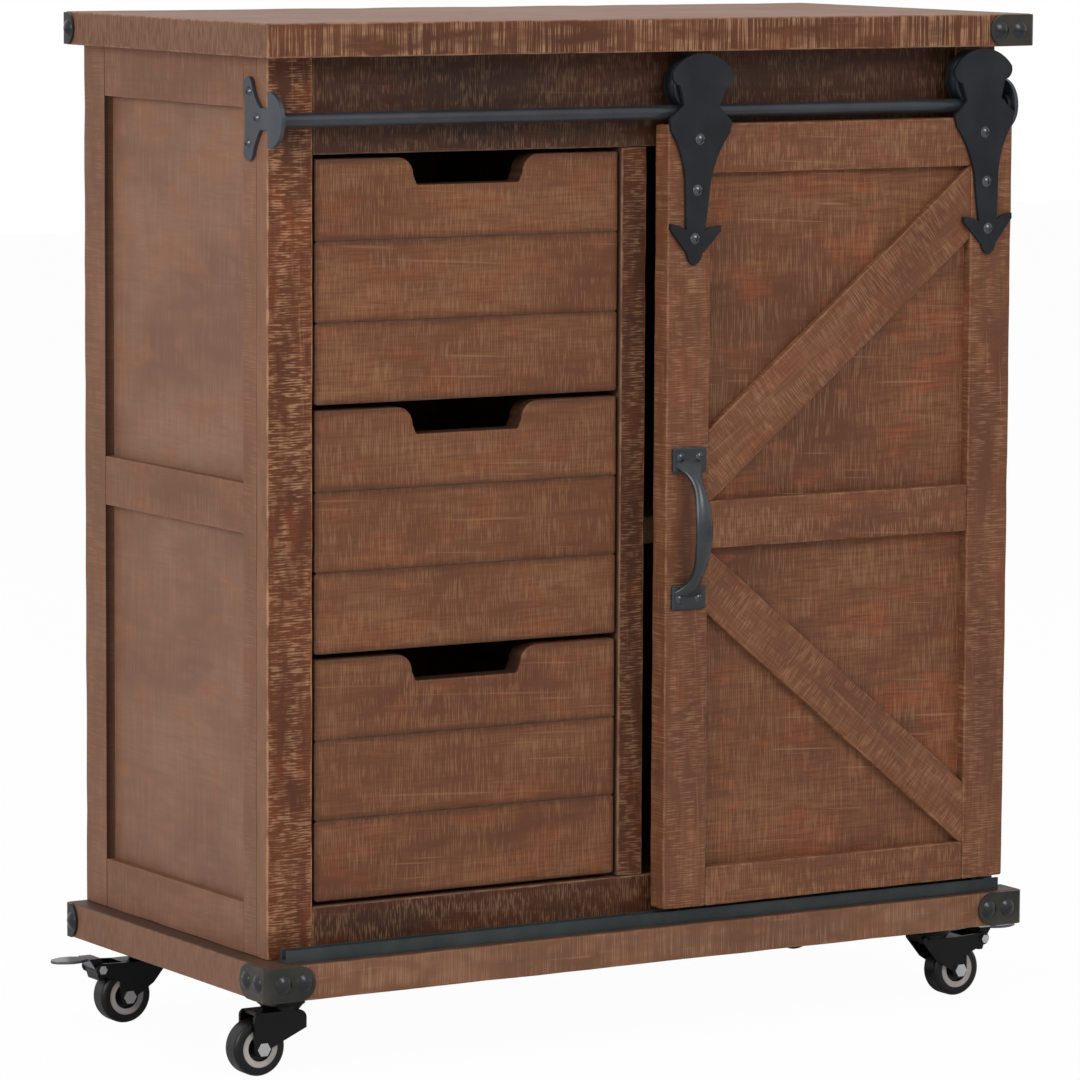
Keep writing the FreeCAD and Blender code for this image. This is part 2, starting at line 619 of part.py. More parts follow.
def make_corner_brackets():
    """All four corners of the base, and three of the top: its front left corner is bare."""
    brackets, rivets = [], []
    turns = {(-1, -1): 0, (1, -1): 90, (1, 1): 180, (-1, 1): 270}
    for low, thick, corners in ((CASTER_HEIGHT, BASE_BOARD, [(-1, -1), (1, -1), (1, 1), (-1, 1)]),
                                (CASE_TOP, TOP_BOARD, [(1, -1), (1, 1), (-1, 1)])):
        for x, y in corners:
            stub_on = {(-1, 1): "front", (1, 1): "side"}.get((x, y))
            strap, heads = corner_bracket(thick - 2 * BRACKET_INSET, stub_on)
            for solid in [strap] + heads:
                solid.rotate(Vector(0, 0, 0), Vector(0, 0, 1), turns[(x, y)])
                solid.translate(Vector(x * WIDTH / 2, MIDDLE_Y + y * DEPTH / 2, low + thick / 2))
            brackets.append(strap)
            rivets += heads
    write("corner_brackets", *brackets)
    write("corner_rivets", *rivets)


# Casters, each built about its swivel axis with its wheel towards +X
def placed(solid, x, y, heading):
    if heading < 0:
        solid.rotate(Vector(0, 0, 0), Vector(0, 0, 1), 180)
    solid.translate(Vector(x, y, 0))
    return solid


def mount_plate():
    """The screwed plate, the upper bearing race and the kingpin that the fork turns on."""
    up = Vector(0, 0, 1)
    half = MOUNT_PLATE / 2
    plate = softened(box(-half, half, -half, half, CASTER_HEIGHT - 2, CASTER_HEIGHT), 0.4)
    race = Part.makeCone(RACE_R, RACE_R - 1.5, CASTER_HEIGHT - 2 - RACE_LOW, Vector(0, 0, RACE_LOW), up)
    pin_low = CROWN_TOP - CROWN_THICK - 2.9
    pin = rod(0, 0, pin_low, KINGPIN_R, RACE_LOW - pin_low, up)
    head = rod(0, 0, pin_low, KINGPIN_R + 2.7, 2.4, up)
    return plate.fuse([race, pin, head]).removeSplitter()


def make_mounts():
    plates, screws = [], []
    down = Vector(0, 0, -1)
    for x, y, heading, braked in CASTERS.values():
        own = [cross_screw(sx * MOUNT_SCREW, sy * MOUNT_SCREW, CASTER_HEIGHT - 2, 2.6, 1.4, down, 2.0)
               for sx in (-1, 1) for sy in (-1, 1)]
        plates.append(placed(mount_plate().cut(own), x, y, heading))
        screws += [placed(screw, x, y, heading) for screw in own]
    write("caster_plates", *plates)
    return screws


def axle_bolt(x, z, radius, head_r):
    """A bolt across the fork with a six-sided head and nut outside its plates."""
    hexagon = [Vector(x + head_r * cos(k * pi / 3), -FORK_HALF, z + head_r * sin(k * pi / 3))
               for k in range(6)]
    shank = rod(x, -FORK_HALF, z, radius, 2 * FORK_HALF, Vector(0, 1, 0))
    head = face_of(hexagon).extrude(Vector(0, -2.2, 0))
    nut = head.copy()
    nut.translate(Vector(0, 2 * FORK_HALF + 2.2, 0))
    return shank.fuse([head, nut]).removeSplitter()


def fork_body(braked):
    """A bent plate that holds the wheel by its axle, under the lower bearing race."""
    def at(x, z):
        return Vector(x, -FORK_HALF, z)
    boss = 6.5
    shoulder = at(27.5, CROWN_TOP - 5)
    nose = [Part.LineSegment(at(22.5, CROWN_TOP), at(24.5, CROWN_TOP)),
            Part.Arc(at(24.5, CROWN_TOP), at(26.7, CROWN_TOP - 1.6), shoulder)]
    if braked:
        tail_x, tail_z = BRAKE_PIVOT
        shoulder = at(27.5, CROWN_TOP - 14)
        nose = [Part.LineSegment(at(22.5, CROWN_TOP), at(tail_x, tail_z + 4.6)),
                Part.Arc(at(tail_x, tail_z + 4.6), at(tail_x + 4.6, tail_z), at(tail_x, tail_z - 4.6)),
                Part.LineSegment(at(tail_x, tail_z - 4.6), shoulder)]
    heel, back = at(-14, CROWN_TOP - 13), at(-14, CROWN_TOP - 7)
    tail = [Part.LineSegment(heel, back), Part.Arc(back, at(-12.4, CROWN_TOP - 2), at(-8, CROWN_TOP))]
    if braked:
        heel = at(0.5, CROWN_TOP - 16.5)
        tail = [Part.LineSegment(heel, at(-11.5, CROWN_TOP - 2)),
                Part.Arc(at(-11.5, CROWN_TOP - 2), at(-12.3, CROWN_TOP - 0.4), at(-8, CROWN_TOP))]
    edges = tail + [Part.LineSegment(at(-8, CROWN_TOP), at(22.5, CROWN_TOP))] + nose
    edges += [Part.LineSegment(shoulder, at(TRAIL + boss, WHEEL_R)),
              Part.Arc(at(TRAIL + boss, WHEEL_R), at(TRAIL, WHEEL_R - boss), at(TRAIL - boss, WHEEL_R)),
              Part.LineSegment(at(TRAIL - boss, WHEEL_R), heel)]
    face = Part.Face(Part.Wire([edge.toShape() for edge in edges]))
    body = face.extrude(Vector(0, 2 * FORK_HALF, 0))
    inner = FORK_HALF - FORK_PLATE
    body = body.cut(box(-50, 60, -inner, inner, 0, CROWN_TOP - CROWN_THICK))
    body = body.cut(box(24.5, 60, -inner, inner, 0, HEIGHT))
    race = Part.makeCone(RACE_R - 4, RACE_R - 1, RACE_LOW - 0.5 - CROWN_TOP, Vector(0, 0, CROWN_TOP),
                         Vector(0, 0, 1))
    body = body.fuse(race).removeSplitter()
    return body.cut(rod(0, 0, 0, KINGPIN_BORE, HEIGHT, Vector(0, 0, 1)))


def tyre():
    """The soft tread ring, with rounded shoulders."""
    half = WHEEL_THICK / 2
    along = Vector(0, 1, 0)
    ring = rod(TRAIL, -half, WHEEL_R, WHEEL_R, WHEEL_THICK, along)
    rims = [edge for edge in ring.Edges if abs(edge.Length - 2 * pi * WHEEL_R) < 0.1]
    ring = ring.makeFillet(3.5, rims)
    return ring.cut(rod(TRAIL, -half - 1, WHEEL_R, CORE_R, WHEEL_THICK + 2, along))


def wheel_core():
    """The hard centre with a raised rim ring, a dished web and a hub, on each face."""
    half = WHEEL_THICK / 2 - 0.6
    along = Vector(0, 1, 0)
    core = rod(TRAIL, -half, WHEEL_R, CORE_R, 2 * half, along)
    core = core.cut(rod(TRAIL, -half - 1, WHEEL_R, AXLE_BORE, 2 * half + 2, along))
    for start, axis in ((-half, along), (half, along * -1)):
        dish = rod(TRAIL, start, WHEEL_R, DISH_R, DISH_DEPTH, axis)
        core = core.cut(dish.cut(rod(TRAIL, start, WHEEL_R, HUB_R, DISH_DEPTH, axis)))
    hub = rod(TRAIL, -half - 0.4, WHEEL_R, HUB_R, 2 * half + 0.8, along)
    hub = hub.cut(rod(TRAIL, -half - 1, WHEEL_R, AXLE_BORE, 2 * half + 2, along))
    return core.fuse(hub).removeSplitter()


def brake_pedal():
    """A leaf to press with the toe, a hub on the brake bolt and a shoe above the tyre."""
    x, z = BRAKE_PIVOT
    inner = FORK_HALF - FORK_PLATE - 0.6
    across = Vector(0, 2 * inner, 0)
    hub = rod(x, -inner, z, 4.0, 2 * inner, Vector(0, 1, 0))
    shoe = face_of([Vector(x - 3.8, -inner, z), Vector(x - 3.4, -inner, z - 8.6),
                    Vector(x + 0.8, -inner, z - 8.6), Vector(x + 3.8, -inner, z)]).extrude(across)
    web = face_of([Vector(x - 3.8, -inner, z), Vector(x + 3.8, -inner, z),
                   Vector(x + 9, -inner, PEDAL_Z[1]), Vector(x - 1, -inner, PEDAL_Z[1])]).extrude(across)

    def rim(along, across):
        return Vector(x + along, across, PEDAL_Z[0])
    tip = PEDAL_TIP - x
    edges = [Part.LineSegment(rim(-1, -inner), rim(-1, inner)),
             Part.Arc(rim(-1, inner), rim(4.5, 6.9), rim(10, 6.2)),
             Part.Arc(rim(10, 6.2), rim(20, 10), rim(tip - 5, 7)),
             Part.Arc(rim(tip - 5, 7), rim(tip, 0), rim(tip - 5, -7)),
             Part.Arc(rim(tip - 5, -7), rim(20, -10), rim(10, -6.2)),
             Part.Arc(rim(10, -6.2), rim(4.5, -6.9), rim(-1, -inner))]
    leaf = Part.Face(Part.Wire([edge.toShape() for edge in edges]))
    leaf = leaf.extrude(Vector(0, 0, PEDAL_Z[1] - PEDAL_Z[0]))
    pedal = hub.fuse([shoe, web, leaf]).removeSplitter()
    return pedal.cut(rod(x, -HEIGHT, z, BRAKE_R + 0.08, 2 * HEIGHT, Vector(0, 1, 0)))


def make_casters():
    for name, (x, y, heading, braked) in CASTERS.items():
        bolts = [axle_bolt(TRAIL, WHEEL_R, AXLE_R, 5.2)]
        if braked:
            bolts.append(axle_bolt(BRAKE_PIVOT[0], BRAKE_PIVOT[1], BRAKE_R, 3.4))
        fork = fork_body(braked).cut(bolts)
        write("caster_%s_fork" % name, placed(fork, x, y, heading))
        write("caster_%s_bolts" % name, *[placed(bolt, x, y, heading) for bolt in bolts])
        write("caster_%s_tyre" % name, placed(tyre(), x, y, heading))
        write("caster_%s_wheel" % name, placed(wheel_core(), x, y, heading))
        if braked:
            write("caster_%s_pedal" % name, placed(brake_pedal(), x, y, heading))


os.makedirs("parts", exist_ok=True)
make_boards()
make_sides()
make_face_frame()
make_inside()
make_drawers()
make_runners()
make_door()
make_rollers()
rail_screws = make_rail()
mount_screws = make_mounts()
write("case_screws", *(rail_screws + mount_screws))
make_channel()
make_corner_brackets()
make_casters()
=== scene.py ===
import bmesh
import bpy
import json
from math import copysign, cos, pi, radians, sin
from mathutils import Matrix, Vector, noise


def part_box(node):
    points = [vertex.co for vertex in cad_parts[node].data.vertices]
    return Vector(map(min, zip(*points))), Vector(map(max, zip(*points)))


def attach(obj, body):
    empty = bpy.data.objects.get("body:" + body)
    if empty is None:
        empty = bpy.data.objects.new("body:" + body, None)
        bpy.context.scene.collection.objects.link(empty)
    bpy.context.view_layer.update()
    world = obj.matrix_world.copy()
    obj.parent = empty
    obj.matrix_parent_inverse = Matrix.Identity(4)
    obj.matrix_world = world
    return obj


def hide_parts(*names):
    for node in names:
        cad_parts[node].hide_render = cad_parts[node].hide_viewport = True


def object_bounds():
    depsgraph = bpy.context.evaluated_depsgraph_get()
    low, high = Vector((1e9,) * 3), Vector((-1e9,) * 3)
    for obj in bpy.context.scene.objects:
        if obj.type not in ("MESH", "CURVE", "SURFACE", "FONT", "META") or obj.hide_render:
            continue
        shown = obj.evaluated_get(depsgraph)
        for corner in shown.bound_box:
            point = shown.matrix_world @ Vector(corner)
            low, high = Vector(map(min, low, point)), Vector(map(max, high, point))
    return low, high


# The rolling cabinet's finish: every board is rebuilt with worn edges and sawn faces, the
# brackets, rivets, pedals and wheels get finer copies, and the iron, zinc and rubber get
# their own surfaces. Lengths are in metres.

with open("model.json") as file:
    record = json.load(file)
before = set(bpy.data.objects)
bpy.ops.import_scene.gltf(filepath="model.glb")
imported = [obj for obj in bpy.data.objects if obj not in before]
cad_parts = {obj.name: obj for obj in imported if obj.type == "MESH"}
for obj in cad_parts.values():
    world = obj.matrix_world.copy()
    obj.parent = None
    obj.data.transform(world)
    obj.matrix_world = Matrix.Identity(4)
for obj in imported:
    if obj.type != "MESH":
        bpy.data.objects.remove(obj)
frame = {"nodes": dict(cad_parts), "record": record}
CAD_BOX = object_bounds()

MM = 0.001
ALONG_X, ALONG_Y, ALONG_Z = 0, 1, 2

# Rounding of the boards' edges, in general and for joints, face frame and panels. It takes no
# more than a share of half the board's thickness.
EDGE_ROUND = 1.3 * MM
JOINT_ROUND = 0.5 * MM
FRAME_ROUND = 0.9 * MM
PANEL_ROUND = 1 * MM
ROUND_SHARE = 0.6
BEVEL_STEPS = 2

# Damage to the edges: its depth, its bumps per metre, how much of its noise (-1 to 1) is
# lifted into damage, and how a board's seed moves it. Boards are cut across for it.
EDGE_DAMAGE = 0.45 * MM
DAMAGE_SCALE = 55
DAMAGE_LIFT = 0.25
DAMAGE_SEED = (7.1, 3.3, 0)
CUT_EVERY = 22 * MM

# A point belongs to a rounded edge if it lies within so many roundings of the face
WORN_WITHIN = 1.02
COVE_WITHIN = 1.05

# The face frame's boards are taken to run on so far behind, so that they aren't worn there
FRAME_BURIED = 6 * MM

# Shadows painted into corners, where zero is none and one is the full dark of the painted
# shadow, and how squarely a face has to look their way
RECESS_SHADE = 0.95
RECESS_FADE = 0.55
PANEL_SUNK = 7 * MM
LEDGE_SHADE = 0.68
NOTCH_SHADE = 0.75
SHADE_TURN = 0.6

# Side frames: stile widths, and the rails from the frame's foot up
SIDE_FRONT_STILE = 19 * MM
SIDE_REAR_STILE = 32.5 * MM
SIDE_RAILS = [(0, 36 * MM), (296 * MM, 331.5 * MM), (592 * MM, 628 * MM)]

# Drawer fronts: the finger notch, and the seams between the planks
NOTCH_FLOOR = 83 * MM
NOTCH_DEPTH = 19.4 * MM
NOTCH_LEAN = 2.9 * MM
NOTCH_ROUND = 12.5 * MM
NOTCH_STEPS = 9
NOTCH_CORNER = radians(40)
SEAM_ROUND = 2.2 * MM
SEAM_COVE = 0.25
SEAM_DAMAGE = 0.12 * MM
FRONT_PLANKS = 3

# Braces of the door, as lines between two points seen from the front, and their widths.
# Each is cut longer than its line at both ends, and then trimmed.
BRACES = [((47.3 * MM, 418.3 * MM), (267.6 * MM, 597.5 * MM), 42 * MM),
          ((46.6 * MM, 328.4 * MM), (266.4 * MM, 147.5 * MM), 36.5 * MM)]
BRACE_SPARE = 60 * MM

# Copies of CAD solids: what is welded, what counts as flat and as sharp, and the rounding
WELD = 0.01 * MM
FLAT = radians(1)
SHARP = radians(35)
IRON_ROUND = 0.4 * MM
PEDAL_ROUND = 0.3 * MM

# Pale ring on a wheel's core, from the axle
RING_INNER = 9.2 * MM
RING_OUTER = 13.9 * MM

# Domed rivets of the corner brackets, and the height of a brake pedal's leaf
RIVET_RADIUS = 6.5 * MM
RIVET_RISE = 2.6 * MM
RIVET_FINENESS = 4
PEDAL_LEAF = 47.5 * MM

# Noise in the wood: waves per metre along, across and through a board, and their detail
WOOD_NOISE = {
    "wander": ((60.0, 18.0, 18.0), 2.0),
    "fine": ((700.0, 46.0, 20.0), 1.0),
    "broad": ((300.0, 55.0, 20.0), 2.0),
    "patch": ((30.0, 105.0, 105.0), 2.0),
    "tone": ((7.0, 13.0, 13.0), 4.0),
    "fibre": ((9.0, 230.0, 50.0), 3.0),
    "weft": ((45.0, 560.0, 90.0), 1.0),
    "rust": ((24.0, 40.0, 40.0), 3.0),
    "scratch": ((11.0, 430.0, 430.0), 1.0),
    "ragged": ((90.0, 200.0, 200.0), 3.0),
}

# How a board's seed moves it through the noise, and a CAD node's seed per letter of its name
NOISE_SEED = (1.73, 2.91, 0.77)
NODE_SEED = 0.37

# Marks on the wood: where their noise begins to show, and where it shows in full
MARKS = {
    "stain": (0.38, 0.62),
    "rust": (0.52, 0.66),
    "hatch": (0.58, 0.36),
    "weft": (0.6, 0.38),
    "fibre": (0.58, 0.72),
    "streak": (0.49, 0.62),
    "streak patch": (0.36, 0.6),
    "scratch": (0.69, 0.76),
}

# Marks and painted shade along the edges: how far from the edge they begin, and where they
# show in full. The rubbed edge is made ragged by noise, given as its height and its lowest point.
EDGE_RUST = (9 * MM, 1 * MM)
EDGE_SHADE = (7.5 * MM, 0.0)
EDGE_RUB = (0.9 * MM, -0.4 * MM)
RUB_RAGGED = (5 * MM, -2.1 * MM)

# The depths at which a point begins to count as on a board's face, and counts in full
ON_FACE = (1.5 * MM, 0.3 * MM)

# Saw marks: their pitch, how far they wander, how much of an even comb is in the dark hatch
# and the pale streaks, and the turn of the long scratches
SAW_PITCH = 1.8 * MM
SAW_WANDER = 4 * MM
HATCH_COMB = 0.22
STREAK_COMB = 0.16
STREAK_BROAD = 0.35
SCRATCH_TURN = 0.05

# Strengths that all timbers share: rust at edges, the skirt colour on calm faces, the hatch
# that is missing there, and the dark fibre
RUST_AT_EDGE = 0.6
SKIRT_ON_CALM = 0.85
HATCH_OFF_CALM = 0.8
FIBRE_SHARE = 0.3

# Hatch over the patches and roughness over the tone, as noise from and to and the values
# there, then what streaks add to the roughness, and what the marks give to the relief
HATCH_PATCH = (0.62, 0.4, 0.35, 1.0)
TONE_ROUGH = (0.3, 0.7, 0.5, 0.6)
STREAK_ROUGH = 0.12
HEIGHT_FINE, HEIGHT_BROAD, HEIGHT_WEFT = 0.7, 0.5, 0.3
TIMBER_RELIEF = 0.5 * MM
TIMBER_GLOSS = 0.22

# Metal and plastic skins: their relief, their clouds per metre, and where those look worn
SKIN_RELIEF = 0.2 * MM
SKIN_CLOUD = (28.0, 28.0, 28.0)
SKIN_WORN = (0.42, 0.7)

# Studio: the floor's half width, its grey, the share of white that the camera sees on it, the
# strength and tint of the world's light, and each lamp's place, aim, size and watts
FLOOR_HALF = 8.0
FLOOR_GREY = 0.9
FLOOR_WHITE = 0.97
WORLD_LIGHT = 0.35
WORLD_TINT = (1.0, 0.99, 0.98, 1)
LAMPS = {
    "key lamp": ((-2.9, -1.1, 1.5), (0, 0, 0.4), 1.5, 52),
    "front lamp": ((0.2, -2.6, 2.2), (0, 0, 0.4), 1.2, 33),
    "top lamp": ((0, 0.3, 2.6), (0, 0, 0.7), 1.2, 18),
}

# Camera, from a fit to the photograph, with the lens and its sensor in millimetres
CAMERA_AZIMUTH = radians(31.381)
CAMERA_ELEVATION = radians(6.682)
CAMERA_ROLL = radians(-0.305)
CAMERA_DISTANCE = 4.3953
CAMERA_AIM = Vector((0.0, 0.0105, 0.377))
CAMERA_SHIFT_RIGHT = -7.08 * MM
CAMERA_SHIFT_UP = -27.94 * MM
CAMERA_LENS = 199.2
CAMERA_SENSOR = 36
CAMERA_REACH = 50


def tint(red, green, blue):
    """A colour as it is read off a screen, turned into the linear values of a shader."""
    linear = [(c / 255 / 12.92) if c <= 10 else ((c / 255 + 0.055) / 1.055) ** 2.4
              for c in (red, green, blue)]
    return (*linear, 1.0)


# The dark brown that painted shade and shadow blend towards
PAINTED_SHADOW = tint(26, 15, 10)
WHITE = (1, 1, 1, 1)


# Shader helpers
def put(tree, kind, feeds=(), **settings):
    """Adds a shader node, sets what it is, and feeds its sockets with values or links."""
    made = tree.nodes.new("ShaderNode" + kind)
    for name, value in settings.items():
        setattr(made, name, value)
    pairs = feeds.items() if isinstance(feeds, dict) else enumerate(feeds)
    for socket, value in pairs:
        feed(tree, made.inputs[socket], value)
    return made


def feed(tree, socket, value):
    """Links a socket to another one, or sets its value. None leaves it as it is."""
    if isinstance(value, bpy.types.NodeSocket):
        tree.links.new(value, socket)
    elif value is not None:
        socket.default_value = value


def maths(tree, operation, *feeds):
    return put(tree, "Math", feeds, operation=operation).outputs[0]


def times(tree, first, second):
    return maths(tree, "MULTIPLY", first, second)


def vector_maths(tree, operation, *feeds):
    return put(tree, "VectorMath", feeds, operation=operation).outputs[0]


def split(tree, vector):
    return put(tree, "SeparateXYZ", (vector,)).outputs


def cloud(tree, place, stretch, detail):
    """Noise over a place stretched differently along each axis."""
    scaled = vector_maths(tree, "MULTIPLY", place, stretch)
    return put(tree, "TexNoise", {"Vector": scaled, "Scale": 1.0, "Detail": detail}).outputs[0]


def ramp(tree, value, low, high, to_low=0.0, to_high=1.0):
    """Stretches low..high to a new span, and stops at its ends."""
    return put(tree, "MapRange", (value, low, high, to_low, to_high)).outputs[0]


def blend(tree, factor, first, second):
    """A mix of two colours. The colour sockets of this node can only be told by number."""
    made = put(tree, "Mix", {"Factor": factor, 6: first, 7: second}, data_type="RGBA")
    return made.outputs[2]


def new_group(name, inputs):
    """An empty node group with inputs of the given kinds, and with what a surface needs."""
    tree = bpy.data.node_groups.new(name, "ShaderNodeTree")
    outputs = {"Color": "Color", "Roughness": "Float", "Height": "Float"}
    for way, sockets in (("INPUT", inputs), ("OUTPUT", outputs)):
        for label, kind in sockets.items():
            tree.interface.new_socket(label, in_out=way, socket_type="NodeSocket" + kind)
    return tree, tree.nodes.new("NodeGroupInput").outputs


def group_out(tree, **feeds):
    out = tree.nodes.new("NodeGroupOutput")
    for label, value in feeds.items():
        tree.links.new(value, out.inputs[label])


def use_group(tree, group, **feeds):
    """Places a shared group in a material, with this material's own values."""
    made = tree.nodes.new("ShaderNodeGroup")
    made.node_tree = group
    for label, value in feeds.items():
        feed(tree, made.inputs[label], value)
    return made.outputs


def blank_material(name):
    """An empty material, and its tree."""
    made = bpy.data.materials.new(name)
    made.use_nodes = True
    made.node_tree.nodes.clear()
    return made, made.node_tree


def surface(tree, color, roughness, normal, **plain):
    """The principled shader of a material, with its plain numbers set on its own sockets."""
    feeds = {"Base Color": color, "Roughness": roughness, "Normal": normal}
    feeds.update({label.replace("_", " "): value for label, value in plain.items()})
    shader = put(tree, "BsdfPrincipled", feeds)
    put(tree, "OutputMaterial", {"Surface": shader.outputs[0]})


def bump(tree, height, distance, strength):
    feeds = {"Height": height, "Distance": distance, "Strength": strength}
    return put(tree, "Bump", feeds).outputs[0]


# Timber
def wood_noise(tree, place, kind):
    return cloud(tree, place, *WOOD_NOISE[kind])


def mark(tree, value, kind):
    """How much of a mark shows where its noise has this value."""
    return ramp(tree, value, *MARKS[kind])


def edge_and_calm(tree, given):
    """The distance to the board's nearest edge, and one where its face is a calm one.

    The nearest edge is as far as the middle one of the three distances to the faces."""
    inset = vector_maths(tree, "ABSOLUTE", given["Grain"])
    gaps = split(tree, vector_maths(tree, "SUBTRACT", given["Half"], inset))
    low = maths(tree, "MINIMUM", gaps[0], gaps[1])
    high = maths(tree, "MAXIMUM", gaps[0], gaps[1])
    edge = maths(tree, "MAXIMUM", low, maths(tree, "MINIMUM", high, gaps[2]))
    quiet = split(tree, given["Calm"])
    faces = [times(tree, ramp(tree, gaps[way], *ON_FACE), quiet[way]) for way in range(3)]
    calm = maths(tree, "MAXIMUM", maths(tree, "MAXIMUM", faces[0], faces[1]), faces[2])
    return edge, calm


def combed(tree, comb, fine, share):
    """Fine saw marks with a share of an even comb in them."""
    return maths(tree, "MULTIPLY_ADD", comb, share, times(tree, fine, 1 - share))


def sawn_timber_group():
    """Stained rough-sawn wood: saw lines across a board, fibre along it, worn edges, painted
    shade.
    """
    inputs = dict.fromkeys(("Grain", "Half", "Calm"), "Vector")
    inputs.update(dict.fromkeys(("Seed", "Shade", *TIMBER_NUMBERS), "Float"))
    inputs.update(dict.fromkeys(TIMBER_COLORS, "Color"))
    tree, given = new_group("sawn timber", inputs)
    offset = vector_maths(tree, "MULTIPLY", given["Seed"], NOISE_SEED)
    place = vector_maths(tree, "ADD", given["Grain"], offset)
    wander = times(tree, wood_noise(tree, place, "wander"), SAW_WANDER)
    shift = put(tree, "CombineXYZ", (wander, 0.0, 0.0)).outputs[0]
    bent = vector_maths(tree, "ADD", place, shift)
    reach = put(tree, "CombineXYZ", (1.0, given["Reach"], given["Reach"])).outputs[0]
    lines = vector_maths(tree, "MULTIPLY", bent, reach)
    fine = wood_noise(tree, lines, "fine")
    broad = wood_noise(tree, lines, "broad")
    wave = maths(tree, "SINE", times(tree, split(tree, bent)[0], 2 * pi / SAW_PITCH))
    comb = maths(tree, "MULTIPLY_ADD", wave, 0.5, 0.5)
    patch = wood_noise(tree, place, "patch")
    tone = wood_noise(tree, place, "tone")
    weft = wood_noise(tree, place, "weft")
    edge, calm = edge_and_calm(tree, given)

    # Stain, with rust in spots and along the edges, and the colour of calm faces
    color = blend(tree, mark(tree, tone, "stain"), given["Dark"], given["Stain"])
    spots = mark(tree, wood_noise(tree, place, "rust"), "rust")
    along_edge = times(tree, ramp(tree, edge, *EDGE_RUST), RUST_AT_EDGE)
    rust = maths(tree, "MAXIMUM", spots, along_edge)
    color = blend(tree, times(tree, rust, given["Rusty"]), color, given["Rust"])
    color = blend(tree, times(tree, calm, SKIRT_ON_CALM), color, given["Skirt"])

    # Dark marks: saw hatching across the board, weft and fibre along it
    hatch = mark(tree, combed(tree, comb, fine, HATCH_COMB), "hatch")
    hatch = times(tree, hatch, given["Hatch"])
    hatch = times(tree, hatch, ramp(tree, patch, *HATCH_PATCH))
    hatch = times(tree, hatch, maths(tree, "MULTIPLY_ADD", calm, -HATCH_OFF_CALM, 1.0))
    color = blend(tree, hatch, color, given["Dark"])
    color = blend(tree, times(tree, mark(tree, weft, "weft"), given["Weft"]), color, given["Dark"])
    fibre = mark(tree, wood_noise(tree, place, "fibre"), "fibre")
    color = blend(tree, times(tree, fibre, FIBRE_SHARE), color, given["Dark"])

    # Pale marks: saw streaks, long scratches, and wood rubbed bare at the edges
    streak = maths(tree, "MULTIPLY_ADD", maths(tree, "SUBTRACT", broad, 0.5), STREAK_BROAD,
                   combed(tree, comb, fine, STREAK_COMB))
    streak = times(tree, mark(tree, streak, "streak"), mark(tree, patch, "streak patch"))
    streak = times(tree, streak, given["Streaks"])
    streak = times(tree, streak, maths(tree, "SUBTRACT", 1.0, calm))
    color = blend(tree, streak, color, given["Pale"])
    tilted = put(tree, "Mapping", {"Vector": place, "Rotation": (0, 0, SCRATCH_TURN)}).outputs[0]
    scratch = mark(tree, wood_noise(tree, tilted, "scratch"), "scratch")
    color = blend(tree, times(tree, scratch, given["Scratch"]), color, given["Pale"])
    ragged = maths(tree, "MULTIPLY_ADD", wood_noise(tree, place, "ragged"), *RUB_RAGGED)
    rubbed = ramp(tree, maths(tree, "SUBTRACT", edge, ragged), *EDGE_RUB)
    color = blend(tree, times(tree, rubbed, given["Wear"]), color, given["Pale"])

    # Painted shade along the edges, and painted shade that each mesh carries
    edge_shade = maths(tree, "POWER", ramp(tree, edge, *EDGE_SHADE), 2.0)
    color = blend(tree, times(tree, edge_shade, given["Edge Shade"]), color, PAINTED_SHADOW)
    color = blend(tree, given["Shade"], color, PAINTED_SHADOW)

    rough = maths(tree, "MULTIPLY_ADD", streak, STREAK_ROUGH, ramp(tree, tone, *TONE_ROUGH))
    height = maths(tree, "MULTIPLY_ADD", fine, HEIGHT_FINE, times(tree, broad, HEIGHT_BROAD))
    height = maths(tree, "MULTIPLY_ADD", weft, HEIGHT_WEFT, height)
    group_out(tree, Color=color, Roughness=rough, Height=height)
    return tree
